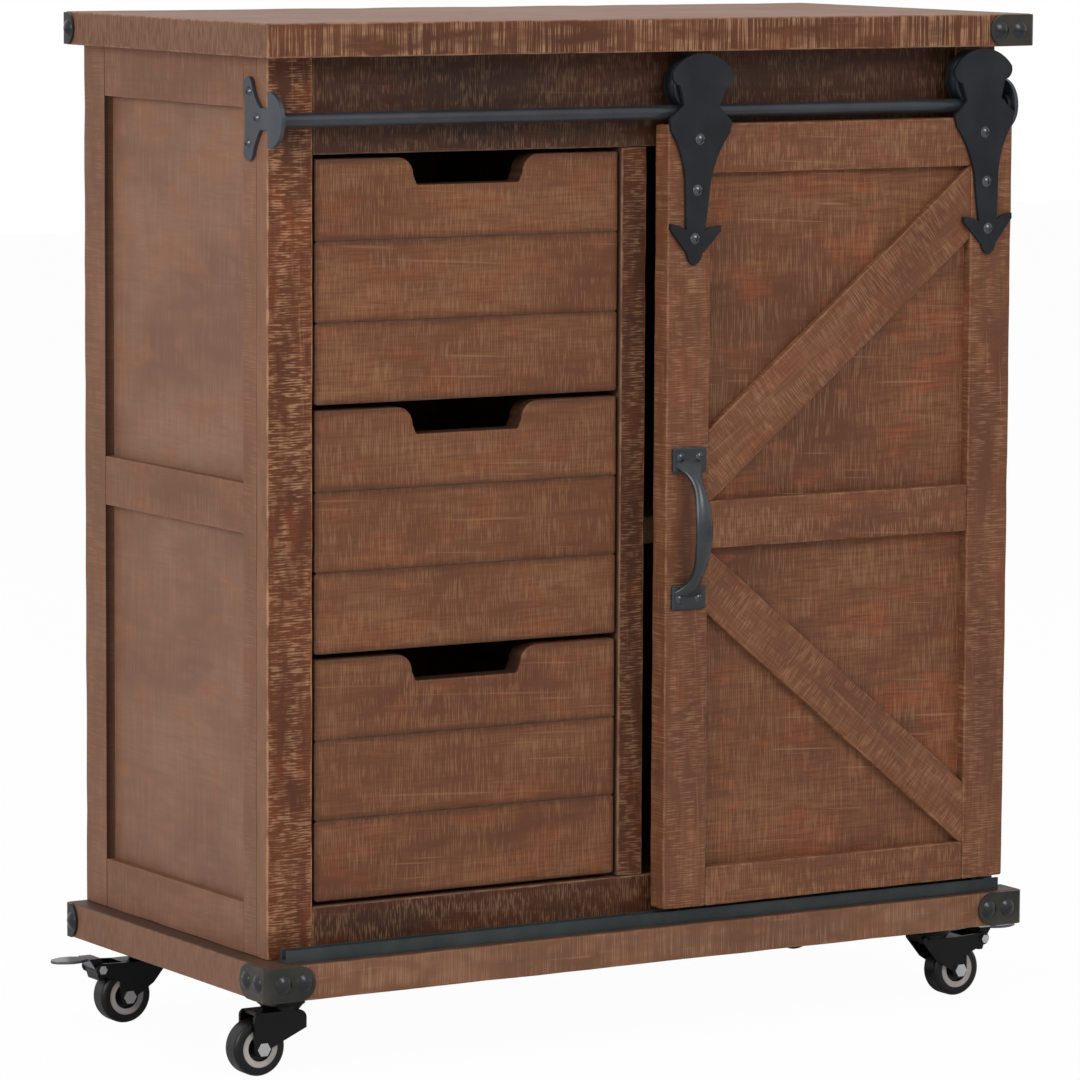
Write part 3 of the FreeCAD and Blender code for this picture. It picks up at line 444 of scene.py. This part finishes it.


# Each timber's five colours, its bump, its numbers, and its calm faces. The numbers are the
# strengths of its marks, but reach makes the saw marks shorter, and the last number is the
# strength of painted shade along its edges. Calm is one for each pair of faces that carries
# few marks: ends, edges and broad faces.
TIMBER_COLORS = ("Stain", "Dark", "Pale", "Rust", "Skirt")
TIMBER_NUMBERS = ("Streaks", "Reach", "Hatch", "Weft", "Scratch", "Rusty", "Wear", "Edge Shade")
TIMBERS = {
    "frame timber":
        ((106, 59, 34), (72, 38, 21), (172, 132, 98), (124, 60, 32), (133, 96, 74), 0.24,
         (0.62, 2.2, 0.6, 0.15, 0.2, 0.5, 0.7, 0.0, (0, 1, 0))),
    "front timber":
        ((122, 81, 54), (94, 56, 36), (150, 112, 82), (130, 74, 44), (122, 81, 54), 0.14,
         (0.38, 1.2, 0.45, 0.5, 0.35, 0.55, 0.25, 0.65, (0, 0, 0))),
    "panel front timber":
        ((121, 79, 53), (92, 55, 36), (150, 112, 82), (138, 74, 46), (121, 79, 53), 0.14,
         (0.4, 1.0, 0.5, 0.6, 0.5, 0.7, 0.0, 0.5, (0, 0, 0))),
    "door timber":
        ((122, 81, 56), (95, 58, 39), (158, 118, 88), (134, 76, 49), (122, 81, 56), 0.18,
         (0.45, 1.6, 0.55, 0.55, 0.3, 0.5, 0.5, 0.15, (0, 0, 0))),
    "side timber":
        ((128, 92, 71), (108, 74, 55), (152, 117, 96), (130, 82, 57), (128, 92, 71), 0.06,
         (0.3, 0.7, 0.4, 0.3, 0.1, 0.5, 0.1, 0.0, (0, 0, 0))),
    "panel timber":
        ((134, 99, 79), (114, 80, 64), (150, 120, 102), (136, 92, 66), (134, 99, 79), 0.05,
         (0.3, 0.4, 0.3, 0.25, 0.1, 0.7, 0.0, 0.85, (0, 0, 0))),
    "board timber":
        ((108, 66, 43), (76, 43, 26), (168, 128, 98), (118, 66, 41), (126, 92, 73), 0.2,
         (0.7, 1.2, 0.6, 0.5, 0.1, 0.5, 0.5, 0.0, (1, 0, 1))),
    "base timber":
        ((134, 97, 74), (106, 71, 51), (162, 127, 101), (134, 84, 58), (122, 88, 70), 0.14,
         (0.42, 1.4, 0.4, 0.6, 0.25, 0.5, 0.4, 0.0, (1, 0, 1))),
    "inner timber":
        ((142, 108, 84), (120, 88, 66), (160, 128, 104), (130, 92, 66), (142, 108, 84), 0.1,
         (0.15, 0.8, 0.3, 0.1, 0.0, 0.2, 0.1, 0.0, (0, 0, 0))),
}

# Face frame boards made darker, and the share of its colours that is left. The top rail has a
# darker stain and painted shadow under the top board, the centre stile painted shadow beside
# the door, and the bottom rail a darker stain
DARKENED_FRAME_TIMBERS = {"stained and shaded upper rail timber": 0.62, "lower rail timber": 0.76, "middle timber": 0.78}
for name, share in DARKENED_FRAME_TIMBERS.items():
    *colors, depth, numbers = TIMBERS["frame timber"]
    colors = [tuple(channel * share for channel in color) for color in colors]
    TIMBERS[name] = (*colors, depth, numbers)

TIMBER = sawn_timber_group()

# For a node's long axis: the turn that lays the grain along it, and the order of its axes
LAID_ALONG = {ALONG_X: ((0, 0, 0), (0, 1, 2)),
              ALONG_Y: ((0, 0, -pi / 2), (1, 0, 2)),
              ALONG_Z: ((0, pi / 2, 0), (2, 1, 0))}


def timber_finish(name, timber, **carried):
    """A timber's material. Grain, size and seed are given as values or as makers of sockets."""
    *colors, depth, numbers = TIMBERS[timber]
    made, tree = blank_material(name)
    feeds = {label: value(tree) if callable(value) else value for label, value in carried.items()}
    feeds.update(zip(TIMBER_COLORS, (tint(*color) for color in colors)))
    feeds.update(zip((*TIMBER_NUMBERS, "Calm"), numbers))
    wood = use_group(tree, TIMBER, **feeds)
    relief = bump(tree, wood["Height"], TIMBER_RELIEF, depth)
    surface(tree, wood["Color"], wood["Roughness"], relief, Specular_IOR_Level=TIMBER_GLOSS)
    return made


def attribute(label, output):
    """A maker of the socket that reads what each board's mesh carries."""
    return lambda tree: put(tree, "Attribute", attribute_name=label).outputs[output]


def timber_material(name):
    """A timber for rebuilt boards, whose meshes carry their own grain, size and seed."""
    return timber_finish(name, name, Grain=attribute("grain", "Vector"),
                         Half=attribute("half", "Vector"), Seed=attribute("seed", "Fac"),
                         Shade=attribute("shade", "Fac"))


def timber_on_node(name, timber, node, along):
    """The same timber on a CAD node, laid out from the node's own box."""
    low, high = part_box(node)
    centre, half = (low + high) / 2, (high - low) / 2
    turn, order = LAID_ALONG[along]

    def grain(tree):
        coords = put(tree, "TexCoord").outputs["Object"]
        moved = vector_maths(tree, "SUBTRACT", coords, tuple(centre))
        return put(tree, "Mapping", {"Vector": moved, "Rotation": turn}).outputs[0]

    return timber_finish(name, timber, Grain=grain, Half=tuple(half[axis] for axis in order),
                         Seed=len(node) * NODE_SEED)


# Iron, zinc, rubber and plastic
def cast_skin_group():
    """Small unevenness of a painted, plated or moulded skin, and grime in it."""
    tree, given = new_group("cast skin", {"Base": "Color", "Worn": "Color", "Size": "Float",
                                          "Roughness": "Float", "Spread": "Float"})
    place = put(tree, "TexCoord").outputs["Object"]
    scaled = put(tree, "VectorMath", {0: place, "Scale": given["Size"]}, operation="SCALE")
    grain = put(tree, "TexNoise", {"Vector": scaled.outputs[0], "Scale": 1.0, "Detail": 3.0})
    soft = cloud(tree, place, SKIN_CLOUD, 3.0)
    color = blend(tree, ramp(tree, soft, *SKIN_WORN), given["Base"], given["Worn"])
    rough = maths(tree, "MULTIPLY_ADD", maths(tree, "SUBTRACT", soft, 0.5), given["Spread"],
                  given["Roughness"])
    group_out(tree, Color=color, Roughness=rough, Height=grain.outputs[0])
    return tree


SKIN = cast_skin_group()


def skin_material(name, base, worn, size, roughness, spread, depth, plain):
    made, tree = blank_material(name)
    skin = use_group(tree, SKIN, Base=tint(*base), Worn=tint(*worn), Size=size,
                     Roughness=roughness, Spread=spread)
    relief = bump(tree, skin["Height"], SKIN_RELIEF, depth)
    surface(tree, skin["Color"], skin["Roughness"], relief, **plain)
    return made


def gloss(level):
    return {"Specular_IOR_Level": level}


def metal(share):
    return {"Metallic": share}


# Each skin's colour and worn colour, its grains per metre, its roughness and the spread of it,
# its bump, and its gloss or metal
SKINS = {
    "black iron": ((24, 25, 29), (34, 36, 41), 700.0, 0.42, 0.25, 0.25, gloss(0.2)),
    "slate iron": ((52, 56, 64), (66, 70, 78), 700.0, 0.34, 0.25, 0.15, gloss(0.3)),
    "handle iron": ((36, 41, 45), (54, 58, 62), 500.0, 0.28, 0.25, 0.15, gloss(0.42)),
    "rail iron": ((40, 43, 49), (50, 54, 60), 700.0, 0.3, 0.2, 0.1, gloss(0.35)),
    "corner iron": ((34, 35, 33), (62, 57, 47), 300.0, 0.4, 0.3, 0.3, gloss(0.25)),
    "rivet iron": ((10, 12, 16), (20, 23, 28), 900.0, 0.26, 0.1, 0.1, gloss(0.42)),
    "screw iron": ((70, 73, 78), (92, 95, 100), 900.0, 0.22, 0.1, 0.1, metal(0.8)),
    "fork black": ((6, 6, 7), (14, 13, 13), 900.0, 0.36, 0.2, 0.2, gloss(0.2)),
    "pedal iron": ((84, 86, 92), (110, 112, 118), 900.0, 0.3, 0.2, 0.15, metal(0.6)),
    "dark channel": ((44, 50, 51), (58, 64, 64), 500.0, 0.5, 0.25, 0.3, gloss(0.2)),
    "zinc": ((186, 188, 190), (150, 152, 156), 900.0, 0.28, 0.2, 0.2, metal(1.0)),
    "tyre rubber": ((6, 6, 7), (14, 14, 15), 1200.0, 0.38, 0.15, 0.3, gloss(0.3)),
    "wheel black": ((10, 10, 12), (20, 20, 22), 800.0, 0.4, 0.1, 0.1, gloss(0.3)),
    "wheel grey": ((178, 172, 166), (156, 150, 146), 800.0, 0.35, 0.1, 0.1, {}),
}

MATERIALS = {name: timber_material(name) for name in TIMBERS}
MATERIALS.update({name: skin_material(name, *values) for name, values in SKINS.items()})


# Pieces
def welded(node):
    """A copy of a CAD node's mesh whose loose triangles are joined."""
    shape = bmesh.new()
    shape.from_mesh(frame["nodes"][node].data)
    bmesh.ops.remove_doubles(shape, verts=shape.verts, dist=WELD)
    return shape


def merged(node):
    """A copy of a CAD node's mesh with one face for each flat side."""
    shape = welded(node)
    bmesh.ops.dissolve_limit(shape, angle_limit=FLAT, verts=shape.verts, edges=shape.edges)
    return shape


def solids_of(node):
    """The lowest and highest corner of each separate solid in a CAD node, from the bottom up."""
    shape = welded(node)
    waiting = set(shape.verts)
    found = []
    while waiting:
        stack = [waiting.pop()]
        corners = []
        while stack:
            vert = stack.pop()
            corners.append(vert.co.copy())
            for edge in vert.link_edges:
                other = edge.other_vert(vert)
                if other in waiting:
                    waiting.discard(other)
                    stack.append(other)
        low = Vector([min(c[axis] for c in corners) for axis in range(3)])
        high = Vector([max(c[axis] for c in corners) for axis in range(3)])
        found.append((low, high))
    shape.free()
    return sorted(found, key=lambda pair: tuple(round(pair[0][axis], 4) for axis in (2, 0, 1)))


def node_place(node):
    """The body that a CAD node rides on, and its material slot, from the record."""
    record = frame["record"]
    body = next(b for b, nodes in record["behaviour"]["bodies"].items() if node in nodes)
    slot = next(part["material_slot"] for part in record["subparts"] if part["node"] == node)
    return body, slot


def show(shape, name, material, node, smooth=False):
    """Turns a bmesh into a piece that rides where a CAD node rides and stands for it."""
    mesh = bpy.data.meshes.new(name)
    shape.to_mesh(mesh)
    shape.free()
    piece = bpy.data.objects.new(name, mesh)
    bpy.context.scene.collection.objects.link(piece)
    mesh.materials.append(MATERIALS[material])
    for polygon in mesh.polygons:
        polygon.use_smooth = smooth
    body, slot = node_place(node)
    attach(piece, body)
    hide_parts(node)
    return piece


def dress(node, material):
    """Gives a CAD node its surface."""
    slots = frame["nodes"][node].data.materials
    slots.clear()
    slots.append(material)


# Boards
def unit(axis):
    return Vector([1.0 if way == axis else 0.0 for way in range(3)])


def carry_grain(mesh, centre, along, across, half, seed, shade=None, buried=0.0):
    """Gives each point its place in its board: along, across and through it.

    Shade tells how deep a point lies in shadow. A buried board is taken to run on behind, so
    that it isn't worn there."""
    through = along.cross(across)
    centre = centre + Vector((0, buried, 0))
    half = (half[0], half[1], half[2] + buried)
    for label, kind in (("grain", "FLOAT_VECTOR"), ("half", "FLOAT_VECTOR"), ("seed", "FLOAT"),
                        ("shade", "FLOAT")):
        mesh.attributes.new(label, kind, "POINT")
    carried = mesh.attributes
    for index, vert in enumerate(mesh.vertices):
        reach = vert.co - centre
        place = (reach.dot(along), reach.dot(across), reach.dot(through))
        carried["grain"].data[index].vector = place
        carried["half"].data[index].vector = half
        carried["seed"].data[index].value = seed
        if shade is not None:
            carried["shade"].data[index].value = shade(vert)


def facing(axis, outward, depth):
    """A shade of one depth on the side of a board that looks along an axis."""
    return lambda vert: depth if vert.normal[axis] * outward > SHADE_TURN else 0.0


def recess(outside):
    """A shade on a stile's edge beside a panel, fading from the outside of the frame inwards."""
    def shade(vert):
        inward = abs(outside - vert.co.x) / PANEL_SUNK
        return RECESS_SHADE - RECESS_FADE * inward if vert.normal.y < -SHADE_TURN else 0.0
    return shade


def bevel(shape, edges, round_off, **more):
    bmesh.ops.bevel(shape, geom=edges, offset=round_off, segments=BEVEL_STEPS, profile=0.5,
                    affect="EDGES", material=-1, **more)


def cut(shape, spot, axis, **more):
    """Cuts through all of a shape with a plane."""
    everything = shape.verts[:] + shape.edges[:] + shape.faces[:]
    return bmesh.ops.bisect_plane(shape, geom=everything, plane_co=spot, plane_no=axis, **more)


def rounded_block(half, along, round_off):
    """A block about the origin with rounded edges, cut across often enough to be worn."""
    shape = bmesh.new()
    bmesh.ops.create_cube(shape, size=2.0)
    bmesh.ops.scale(shape, vec=half, verts=shape.verts)
    bevel(shape, shape.edges[:], min(round_off, min(half) * ROUND_SHARE))
    cuts = int(2 * half[along] / CUT_EVERY)
    for step in range(1, cuts):
        spot = 2 * half[along] * step / cuts - half[along]
        cut(shape, unit(along) * spot, unit(along))
    return shape


def wear_edges(shape, half, round_off, seed, damage=EDGE_DAMAGE):
    """Pushes the rounded edges of a board inwards by uneven amounts."""
    moved = Vector([seed * step for step in DAMAGE_SEED])
    for vert in shape.verts:
        gaps = [half[axis] - abs(vert.co[axis]) for axis in range(3)]
        close = [axis for axis in range(3) if gaps[axis] < round_off * WORN_WITHIN]
        if len(close) < 2:
            continue
        push = damage * max(0.0, noise.noise(vert.co * DAMAGE_SCALE + moved) + DAMAGE_LIFT)
        for axis in close:
            vert.co[axis] -= push if vert.co[axis] > 0 else -push


def plank(name, low, high, along, timber, node, seed, round_off=EDGE_ROUND, shade=None,
          buried=0.0, cove=1.0, damage=EDGE_DAMAGE):
    """One sawn board between two corners, with its long way along an axis.

    Its seed picks the wood that it is cut from. A cove under one makes its rounded edges
    shallower than they are wide."""
    centre, half = (low + high) / 2, (high - low) / 2
    shape = rounded_block(half, along, round_off)
    wear_edges(shape, half, round_off, seed, damage)
    wide = max((axis for axis in range(3) if axis != along), key=lambda axis: half[axis])
    thin = 3 - along - wide
    for vert in shape.verts:
        depth = half[thin] - abs(vert.co[thin])
        if depth < round_off * COVE_WITHIN:
            vert.co[thin] = copysign(half[thin] - depth * cove, vert.co[thin])
    bmesh.ops.translate(shape, vec=centre, verts=shape.verts)
    piece = show(shape, name, timber, node)
    carry_grain(piece.data, centre, unit(along), unit(wide), (half[along], half[wide], half[thin]),
                seed, shade, buried)


def make_boards():
    low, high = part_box("top_board")
    plank("top_board.sawn", low, high, ALONG_X, "board timber", "top_board", seed=1.3)
    low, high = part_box("base_board")
    plank("base_board.sawn", low, high, ALONG_X, "base timber", "base_board", seed=2.3,
          shade=facing(ALONG_Z, 1, LEDGE_SHADE))


def make_sides():
    """Each side: two stiles, three rails between them, and two panels in their grooves."""
    for index, side in enumerate(("left", "right")):
        node = side + "_side_frame"
        low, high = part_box(node)
        front, rear = low.y + SIDE_FRONT_STILE, high.y - SIDE_REAR_STILE
        edge = recess(low.x if side == "left" else high.x)
        stiles = ((low.y, front, None), (rear, high.y, edge))
        for count, (start, end, shade) in enumerate(stiles):
            plank("%s.stile%d" % (node, count), Vector((low.x, start, low.z)),
                  Vector((high.x, end, high.z)), ALONG_Z, "side timber", node,
                  seed=index * 9 + count * 1.7, round_off=JOINT_ROUND, shade=shade)
        for count, (start, end) in enumerate(SIDE_RAILS):
            plank("%s.rail%d" % (node, count), Vector((low.x, front, low.z + start)),
                  Vector((high.x, rear, low.z + end)), ALONG_Y, "side timber", node,
                  seed=index * 7 + count * 2.9, round_off=JOINT_ROUND)
        node = side + "_side_panels"
        for count, (low, high) in enumerate(solids_of(node)):
            plank("%s.%d" % (node, count), low, high, ALONG_Y, "panel timber", node,
                  seed=index * 5 + count * 2.3, round_off=PANEL_ROUND)


def make_face_frame():
    # The top rail and the centre stile take timbers darkened partly by painted shadow
    boards = (("frame_left_stile", ALONG_Z, "frame timber"),
              ("frame_centre_stile", ALONG_Z, "middle timber"),
              ("frame_right_stile", ALONG_Z, "frame timber"),
              ("frame_top_rail", ALONG_X, "stained and shaded upper rail timber"),
              ("frame_bottom_rail", ALONG_X, "lower rail timber"))
    for count, (node, along, timber) in enumerate(boards):
        low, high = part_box(node)
        plank(node + ".sawn", low, high, along, timber, node, seed=3.1 + count * 1.9,
              round_off=FRAME_ROUND, buried=FRAME_BURIED)


def notch_outline(x, top):
    """The finger notch from its left shoulder to its right one, as seen from the front."""
    waist = NOTCH_FLOOR / 2 + NOTCH_LEAN
    turns = [pi / 2 * step / NOTCH_STEPS for step in range(NOTCH_STEPS + 1)]
    right = [(NOTCH_FLOOR / 2, top - NOTCH_DEPTH)]
    right += [(waist + NOTCH_ROUND * (1 - cos(turn)), top - NOTCH_ROUND * (1 - sin(turn)))
              for turn in turns]
    left = [(-across, z) for across, z in reversed(right)]
    return [(x + across, z) for across, z in left + right]


def notched_plank(name, low, high, node, seed):
    """The top plank of a drawer front, with the finger notch in its upper edge."""
    outline = [(low.x, low.z), (low.x, high.z)] + notch_outline((low.x + high.x) / 2, high.z)
    outline += [(high.x, high.z), (high.x, low.z)]
    shape = bmesh.new()
    face = shape.faces.new([shape.verts.new((x, low.y, z)) for x, z in outline])
    back = bmesh.ops.extrude_face_region(shape, geom=[face])
    moved = [item for item in back["geom"] if isinstance(item, bmesh.types.BMVert)]
    bmesh.ops.translate(shape, vec=(0, high.y - low.y, 0), verts=moved)
    bmesh.ops.recalc_face_normals(shape, faces=shape.faces)
    sharp = [edge for edge in shape.edges if edge.calc_face_angle(0) > NOTCH_CORNER]
    bevel(shape, sharp, EDGE_ROUND)
    centre, half = (low + high) / 2, (high - low) / 2
    for vert in shape.verts:
        depth = half.y - abs(vert.co.y - centre.y)
        if vert.co.z < low.z + SEAM_ROUND and depth < SEAM_ROUND:
            vert.co.y = centre.y + copysign(half.y - depth * SEAM_COVE, vert.co.y - centre.y)
    reach = NOTCH_FLOOR / 2 + NOTCH_LEAN + NOTCH_ROUND

    def shade(vert):
        inside = abs(vert.co.x - centre.x) < reach and vert.co.z > low.z + half.z
        return NOTCH_SHADE if inside and vert.normal.y > -SHADE_TURN else 0.0

    piece = show(shape, name, "front timber", node)
    carry_grain(piece.data, centre, unit(ALONG_X), unit(ALONG_Z), (half.x, half.z, half.y), seed,
                shade)


def make_drawer_fronts():
    for count, drawer in enumerate(("bottom", "middle", "top")):
        node = "drawer_%s_front" % drawer
        low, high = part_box(node)
        tall = (high.z - low.z) / FRONT_PLANKS
        for row in range(FRONT_PLANKS):
            foot = Vector((low.x, low.y, low.z + row * tall))
            head = Vector((high.x, high.y, low.z + (row + 1) * tall))
            name = "%s.%d" % (node, row)
            seed = count * 4.7 + row * 1.3
            if row < FRONT_PLANKS - 1:
                plank(name, foot, head, ALONG_X, "front timber", node, seed,
                      round_off=SEAM_ROUND, cove=SEAM_COVE, damage=SEAM_DAMAGE)
            else:
                notched_plank(name, foot, head, node, seed)


def make_door():
    for count, (low, high) in enumerate(solids_of("door_stiles")):
        plank("door_stiles.%d" % count, low, high, ALONG_Z, "door timber", "door_stiles",
              seed=2.2 + count * 3)
    for count, (low, high) in enumerate(solids_of("door_rails")):
        plank("door_rails.%d" % count, low, high, ALONG_X, "door timber", "door_rails",
              seed=8.4 + count * 2.1)
    low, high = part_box("door_panel")
    plank("door_panel.sawn", low, high, ALONG_X, "panel front timber", "door_panel", seed=15.5,
          round_off=PANEL_ROUND)
    lower_field, upper_field = solids_of("door_braces")
    for count, field in enumerate((upper_field, lower_field)):
        (start_x, start_z), (end_x, end_z), width = BRACES[count]
        door_brace(count, Vector((start_x, 0, start_z)), Vector((end_x, 0, end_z)), width, field)


def door_brace(count, start, end, width, field):
    """A diagonal board, trimmed by the stiles and rails that it runs between."""
    low, high = field
    along = (end - start).normalized()
    across = Vector((-along.z, 0, along.x))
    centre = (start + end) / 2
    centre.y = (low.y + high.y) / 2
    half = Vector(((end - start).length / 2 + BRACE_SPARE, width / 2, (high.y - low.y) / 2))
    shape = rounded_block(half, ALONG_X, EDGE_ROUND)
    wear_edges(shape, half, EDGE_ROUND, seed=20 + count)
    turn = Matrix((along, across, along.cross(across))).transposed().to_4x4()
    bmesh.ops.transform(shape, matrix=Matrix.Translation(centre) @ turn, verts=shape.verts)
    for axis, spot, outward in ((ALONG_X, low.x, -1), (ALONG_X, high.x, 1),
                                (ALONG_Z, low.z, -1), (ALONG_Z, high.z, 1)):
        there = centre.copy()
        there[axis] = spot
        ends = cut(shape, there, unit(axis) * outward, clear_outer=True)
        rim = [item for item in ends["geom_cut"] if isinstance(item, bmesh.types.BMEdge)]
        if rim:
            bmesh.ops.contextual_create(shape, geom=rim)
    bmesh.ops.recalc_face_normals(shape, faces=shape.faces)
    piece = show(shape, "door_brace.%d" % count, "door timber", "door_braces")
    carry_grain(piece.data, centre, along, across, half, seed=20 + count * 3)


def make_inside():
    """Planed inner boards keep their CAD shape."""
    ways = {"partition": ALONG_Z, "shelf": ALONG_X, "floor_boards": ALONG_X,
            "drawer_runners": ALONG_Y, "back_panel": ALONG_Z}
    for drawer in ("top", "middle", "bottom"):
        ways["drawer_%s_box" % drawer] = ALONG_Y
        ways["drawer_%s_bottom" % drawer] = ALONG_X
    for node, along in ways.items():
        dress(node, timber_on_node(node + " timber", "inner timber", node, along))


# Ironwork
def refined(node, material, round_off):
    """A copy of a CAD node's solids with merged faces and softly rounded edges."""
    shape = merged(node)
    sharp = [edge for edge in shape.edges if edge.calc_face_angle(0) > SHARP]
    bevel(shape, sharp, round_off, clamp_overlap=True)
    return show(shape, node + ".soft", material, node)


def paint(piece, material, chosen):
    """Gives a second material to the polygons of a piece that are chosen."""
    piece.data.materials.append(MATERIALS[material])
    for polygon in piece.data.polygons:
        polygon.material_index = 1 if chosen(polygon) else 0


def ringed_wheel(node):
    """A copy of a wheel's core, with a pale ring sunk in each face between hub and rim."""
    low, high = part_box(node)
    axle = (low + high) / 2
    shape = merged(node)
    bmesh.ops.triangulate(shape, faces=[face for face in shape.faces if len(face.verts) > 4])
    pale = set()
    shape.faces.index_update()
    for face in shape.faces:
        away = [Vector((vert.co.x - axle.x, vert.co.z - axle.z)).length for vert in face.verts]
        if abs(face.normal.y) > 0.5 and min(away) > RING_INNER and max(away) < RING_OUTER:
            pale.add(face.index)
    piece = show(shape, node + ".ringed", "wheel black", node)
    paint(piece, "wheel grey", lambda polygon: polygon.index in pale)


def domed_rivets():
    """Round heads in place of the tapered ones, each looking out from the cabinet's middle."""
    middle = [sum(corner[axis] for corner in CAD_BOX) / 2 for axis in range(3)]
    shape = bmesh.new()
    for low, high in solids_of("corner_rivets"):
        centre = (low + high) / 2
        axis = min((ALONG_X, ALONG_Y), key=lambda way: high[way] - low[way])
        outward = 1 if centre[axis] > middle[axis] else -1
        centre[axis] = (high if outward > 0 else low)[axis] - outward * RIVET_RISE
        size = Vector((RIVET_RADIUS, RIVET_RADIUS, RIVET_RADIUS))
        size[axis] = RIVET_RISE
        head = bmesh.ops.create_icosphere(shape, subdivisions=RIVET_FINENESS, radius=1.0)["verts"]
        for vert in head:
            vert.co[axis] *= abs(vert.co[axis])
        bmesh.ops.scale(shape, vec=size, verts=head)
        bmesh.ops.translate(shape, vec=centre, verts=head)
    show(shape, "corner_rivets.domed", "rivet iron", "corner_rivets", smooth=True)


def brake_pedal(node):
    """A black body with a worn grey leaf to press."""
    piece = refined(node, "fork black", PEDAL_ROUND)
    paint(piece, "pedal iron", lambda polygon: polygon.center.z > PEDAL_LEAF)


def make_ironwork():
    for node, iron in (("door_straps", "black iron"), ("rail_brackets", "slate iron"),
                       ("corner_brackets", "corner iron")):
        refined(node, iron, IRON_ROUND)
    domed_rivets()
    finishes = {
        "rail_rod": "rail iron",
        "door_handle": "handle iron",
        "door_screws": "screw iron",
        "case_screws": "screw iron",
        "door_pins": "black iron",
        "roller_left": "black iron",
        "roller_right": "black iron",
        "caster_plates": "fork black",
        "guide_channel": "dark channel",
    }
    by_ending = {"_fork": "fork black", "_bolts": "zinc", "_tyre": "tyre rubber"}
    for node in frame["nodes"]:
        if node.endswith("_pedal"):
            brake_pedal(node)
        elif node.startswith("caster_") and node.endswith("_wheel"):
            ringed_wheel(node)
        for ending, finish in by_ending.items():
            if node.endswith(ending):
                finishes[node] = finish
    for node, finish in finishes.items():
        dress(node, MATERIALS[finish])


# Studio
def make_floor():
    """A floor that is matt to light and all but white to the camera."""
    made, tree = blank_material("studio floor")
    matt = put(tree, "BsdfDiffuse", {"Color": (FLOOR_GREY, FLOOR_GREY, FLOOR_GREY, 1)})
    white = put(tree, "Emission", {"Color": WHITE, "Strength": 1.0})
    seen = times(tree, put(tree, "LightPath").outputs["Is Camera Ray"], FLOOR_WHITE)
    mix = put(tree, "MixShader", (seen, matt.outputs[0], white.outputs[0]))
    put(tree, "OutputMaterial", {"Surface": mix.outputs[0]})
    shape = bmesh.new()
    bmesh.ops.create_grid(shape, x_segments=2, y_segments=2, size=FLOOR_HALF)
    mesh = bpy.data.meshes.new("studio_floor")
    shape.to_mesh(mesh)
    shape.free()
    mesh.materials.append(made)
    floor = bpy.data.objects.new("studio_floor", mesh)
    bpy.context.scene.collection.objects.link(floor)


def make_world():
    """A dim world for light, and a white one for what the camera and reflections see."""
    world = bpy.data.worlds.new("studio")
    bpy.context.scene.world = world
    world.use_nodes = True
    tree = world.node_tree
    tree.nodes.clear()
    light = put(tree, "Background", {"Color": WORLD_TINT, "Strength": WORLD_LIGHT})
    white = put(tree, "Background", {"Color": WHITE, "Strength": 1.0})
    path = put(tree, "LightPath").outputs
    seen = maths(tree, "MAXIMUM", path["Is Camera Ray"], path["Is Glossy Ray"])
    seen = maths(tree, "MAXIMUM", seen, path["Is Transmission Ray"])
    mix = put(tree, "MixShader", (seen, light.outputs[0], white.outputs[0]))
    put(tree, "OutputWorld", {"Surface": mix.outputs[0]})


def make_lamps():
    for name, (place, aim, size, watts) in LAMPS.items():
        lamp = bpy.data.lights.new(name, "AREA")
        lamp.size = size
        lamp.energy = watts
        held = bpy.data.objects.new(name, lamp)
        held.location = place
        held.rotation_euler = (Vector(aim) - Vector(place)).to_track_quat("-Z", "Y").to_euler()
        bpy.context.scene.collection.objects.link(held)


def make_camera():
    """The photograph's camera, turned a little about its own axis."""
    ahead = Vector((sin(CAMERA_AZIMUTH) * cos(CAMERA_ELEVATION),
                    cos(CAMERA_AZIMUTH) * cos(CAMERA_ELEVATION), -sin(CAMERA_ELEVATION)))
    right = Vector((cos(CAMERA_AZIMUTH), -sin(CAMERA_AZIMUTH), 0))
    up = right.cross(ahead)
    aim = CAMERA_AIM + right * CAMERA_SHIFT_RIGHT + up * CAMERA_SHIFT_UP
    turn_cos, turn_sin = cos(CAMERA_ROLL), sin(CAMERA_ROLL)
    picture_right = right * turn_cos - up * turn_sin
    picture_up = right * turn_sin + up * turn_cos
    lens = bpy.data.cameras.new("camera")
    lens.sensor_width = CAMERA_SENSOR
    lens.lens = CAMERA_LENS
    lens.clip_end = CAMERA_REACH
    held = bpy.data.objects.new("camera", lens)
    axes = Matrix((picture_right, picture_up, -ahead)).transposed().to_4x4()
    held.matrix_world = Matrix.Translation(aim - ahead * CAMERA_DISTANCE) @ axes
    bpy.context.scene.collection.objects.link(held)
    bpy.context.scene.camera = held


make_camera()
make_boards()
make_sides()
make_face_frame()
make_drawer_fronts()
make_door()
make_inside()
make_ironwork()
make_floor()
make_world()
make_lamps()
bpy.context.scene.view_settings.view_transform = "Standard"
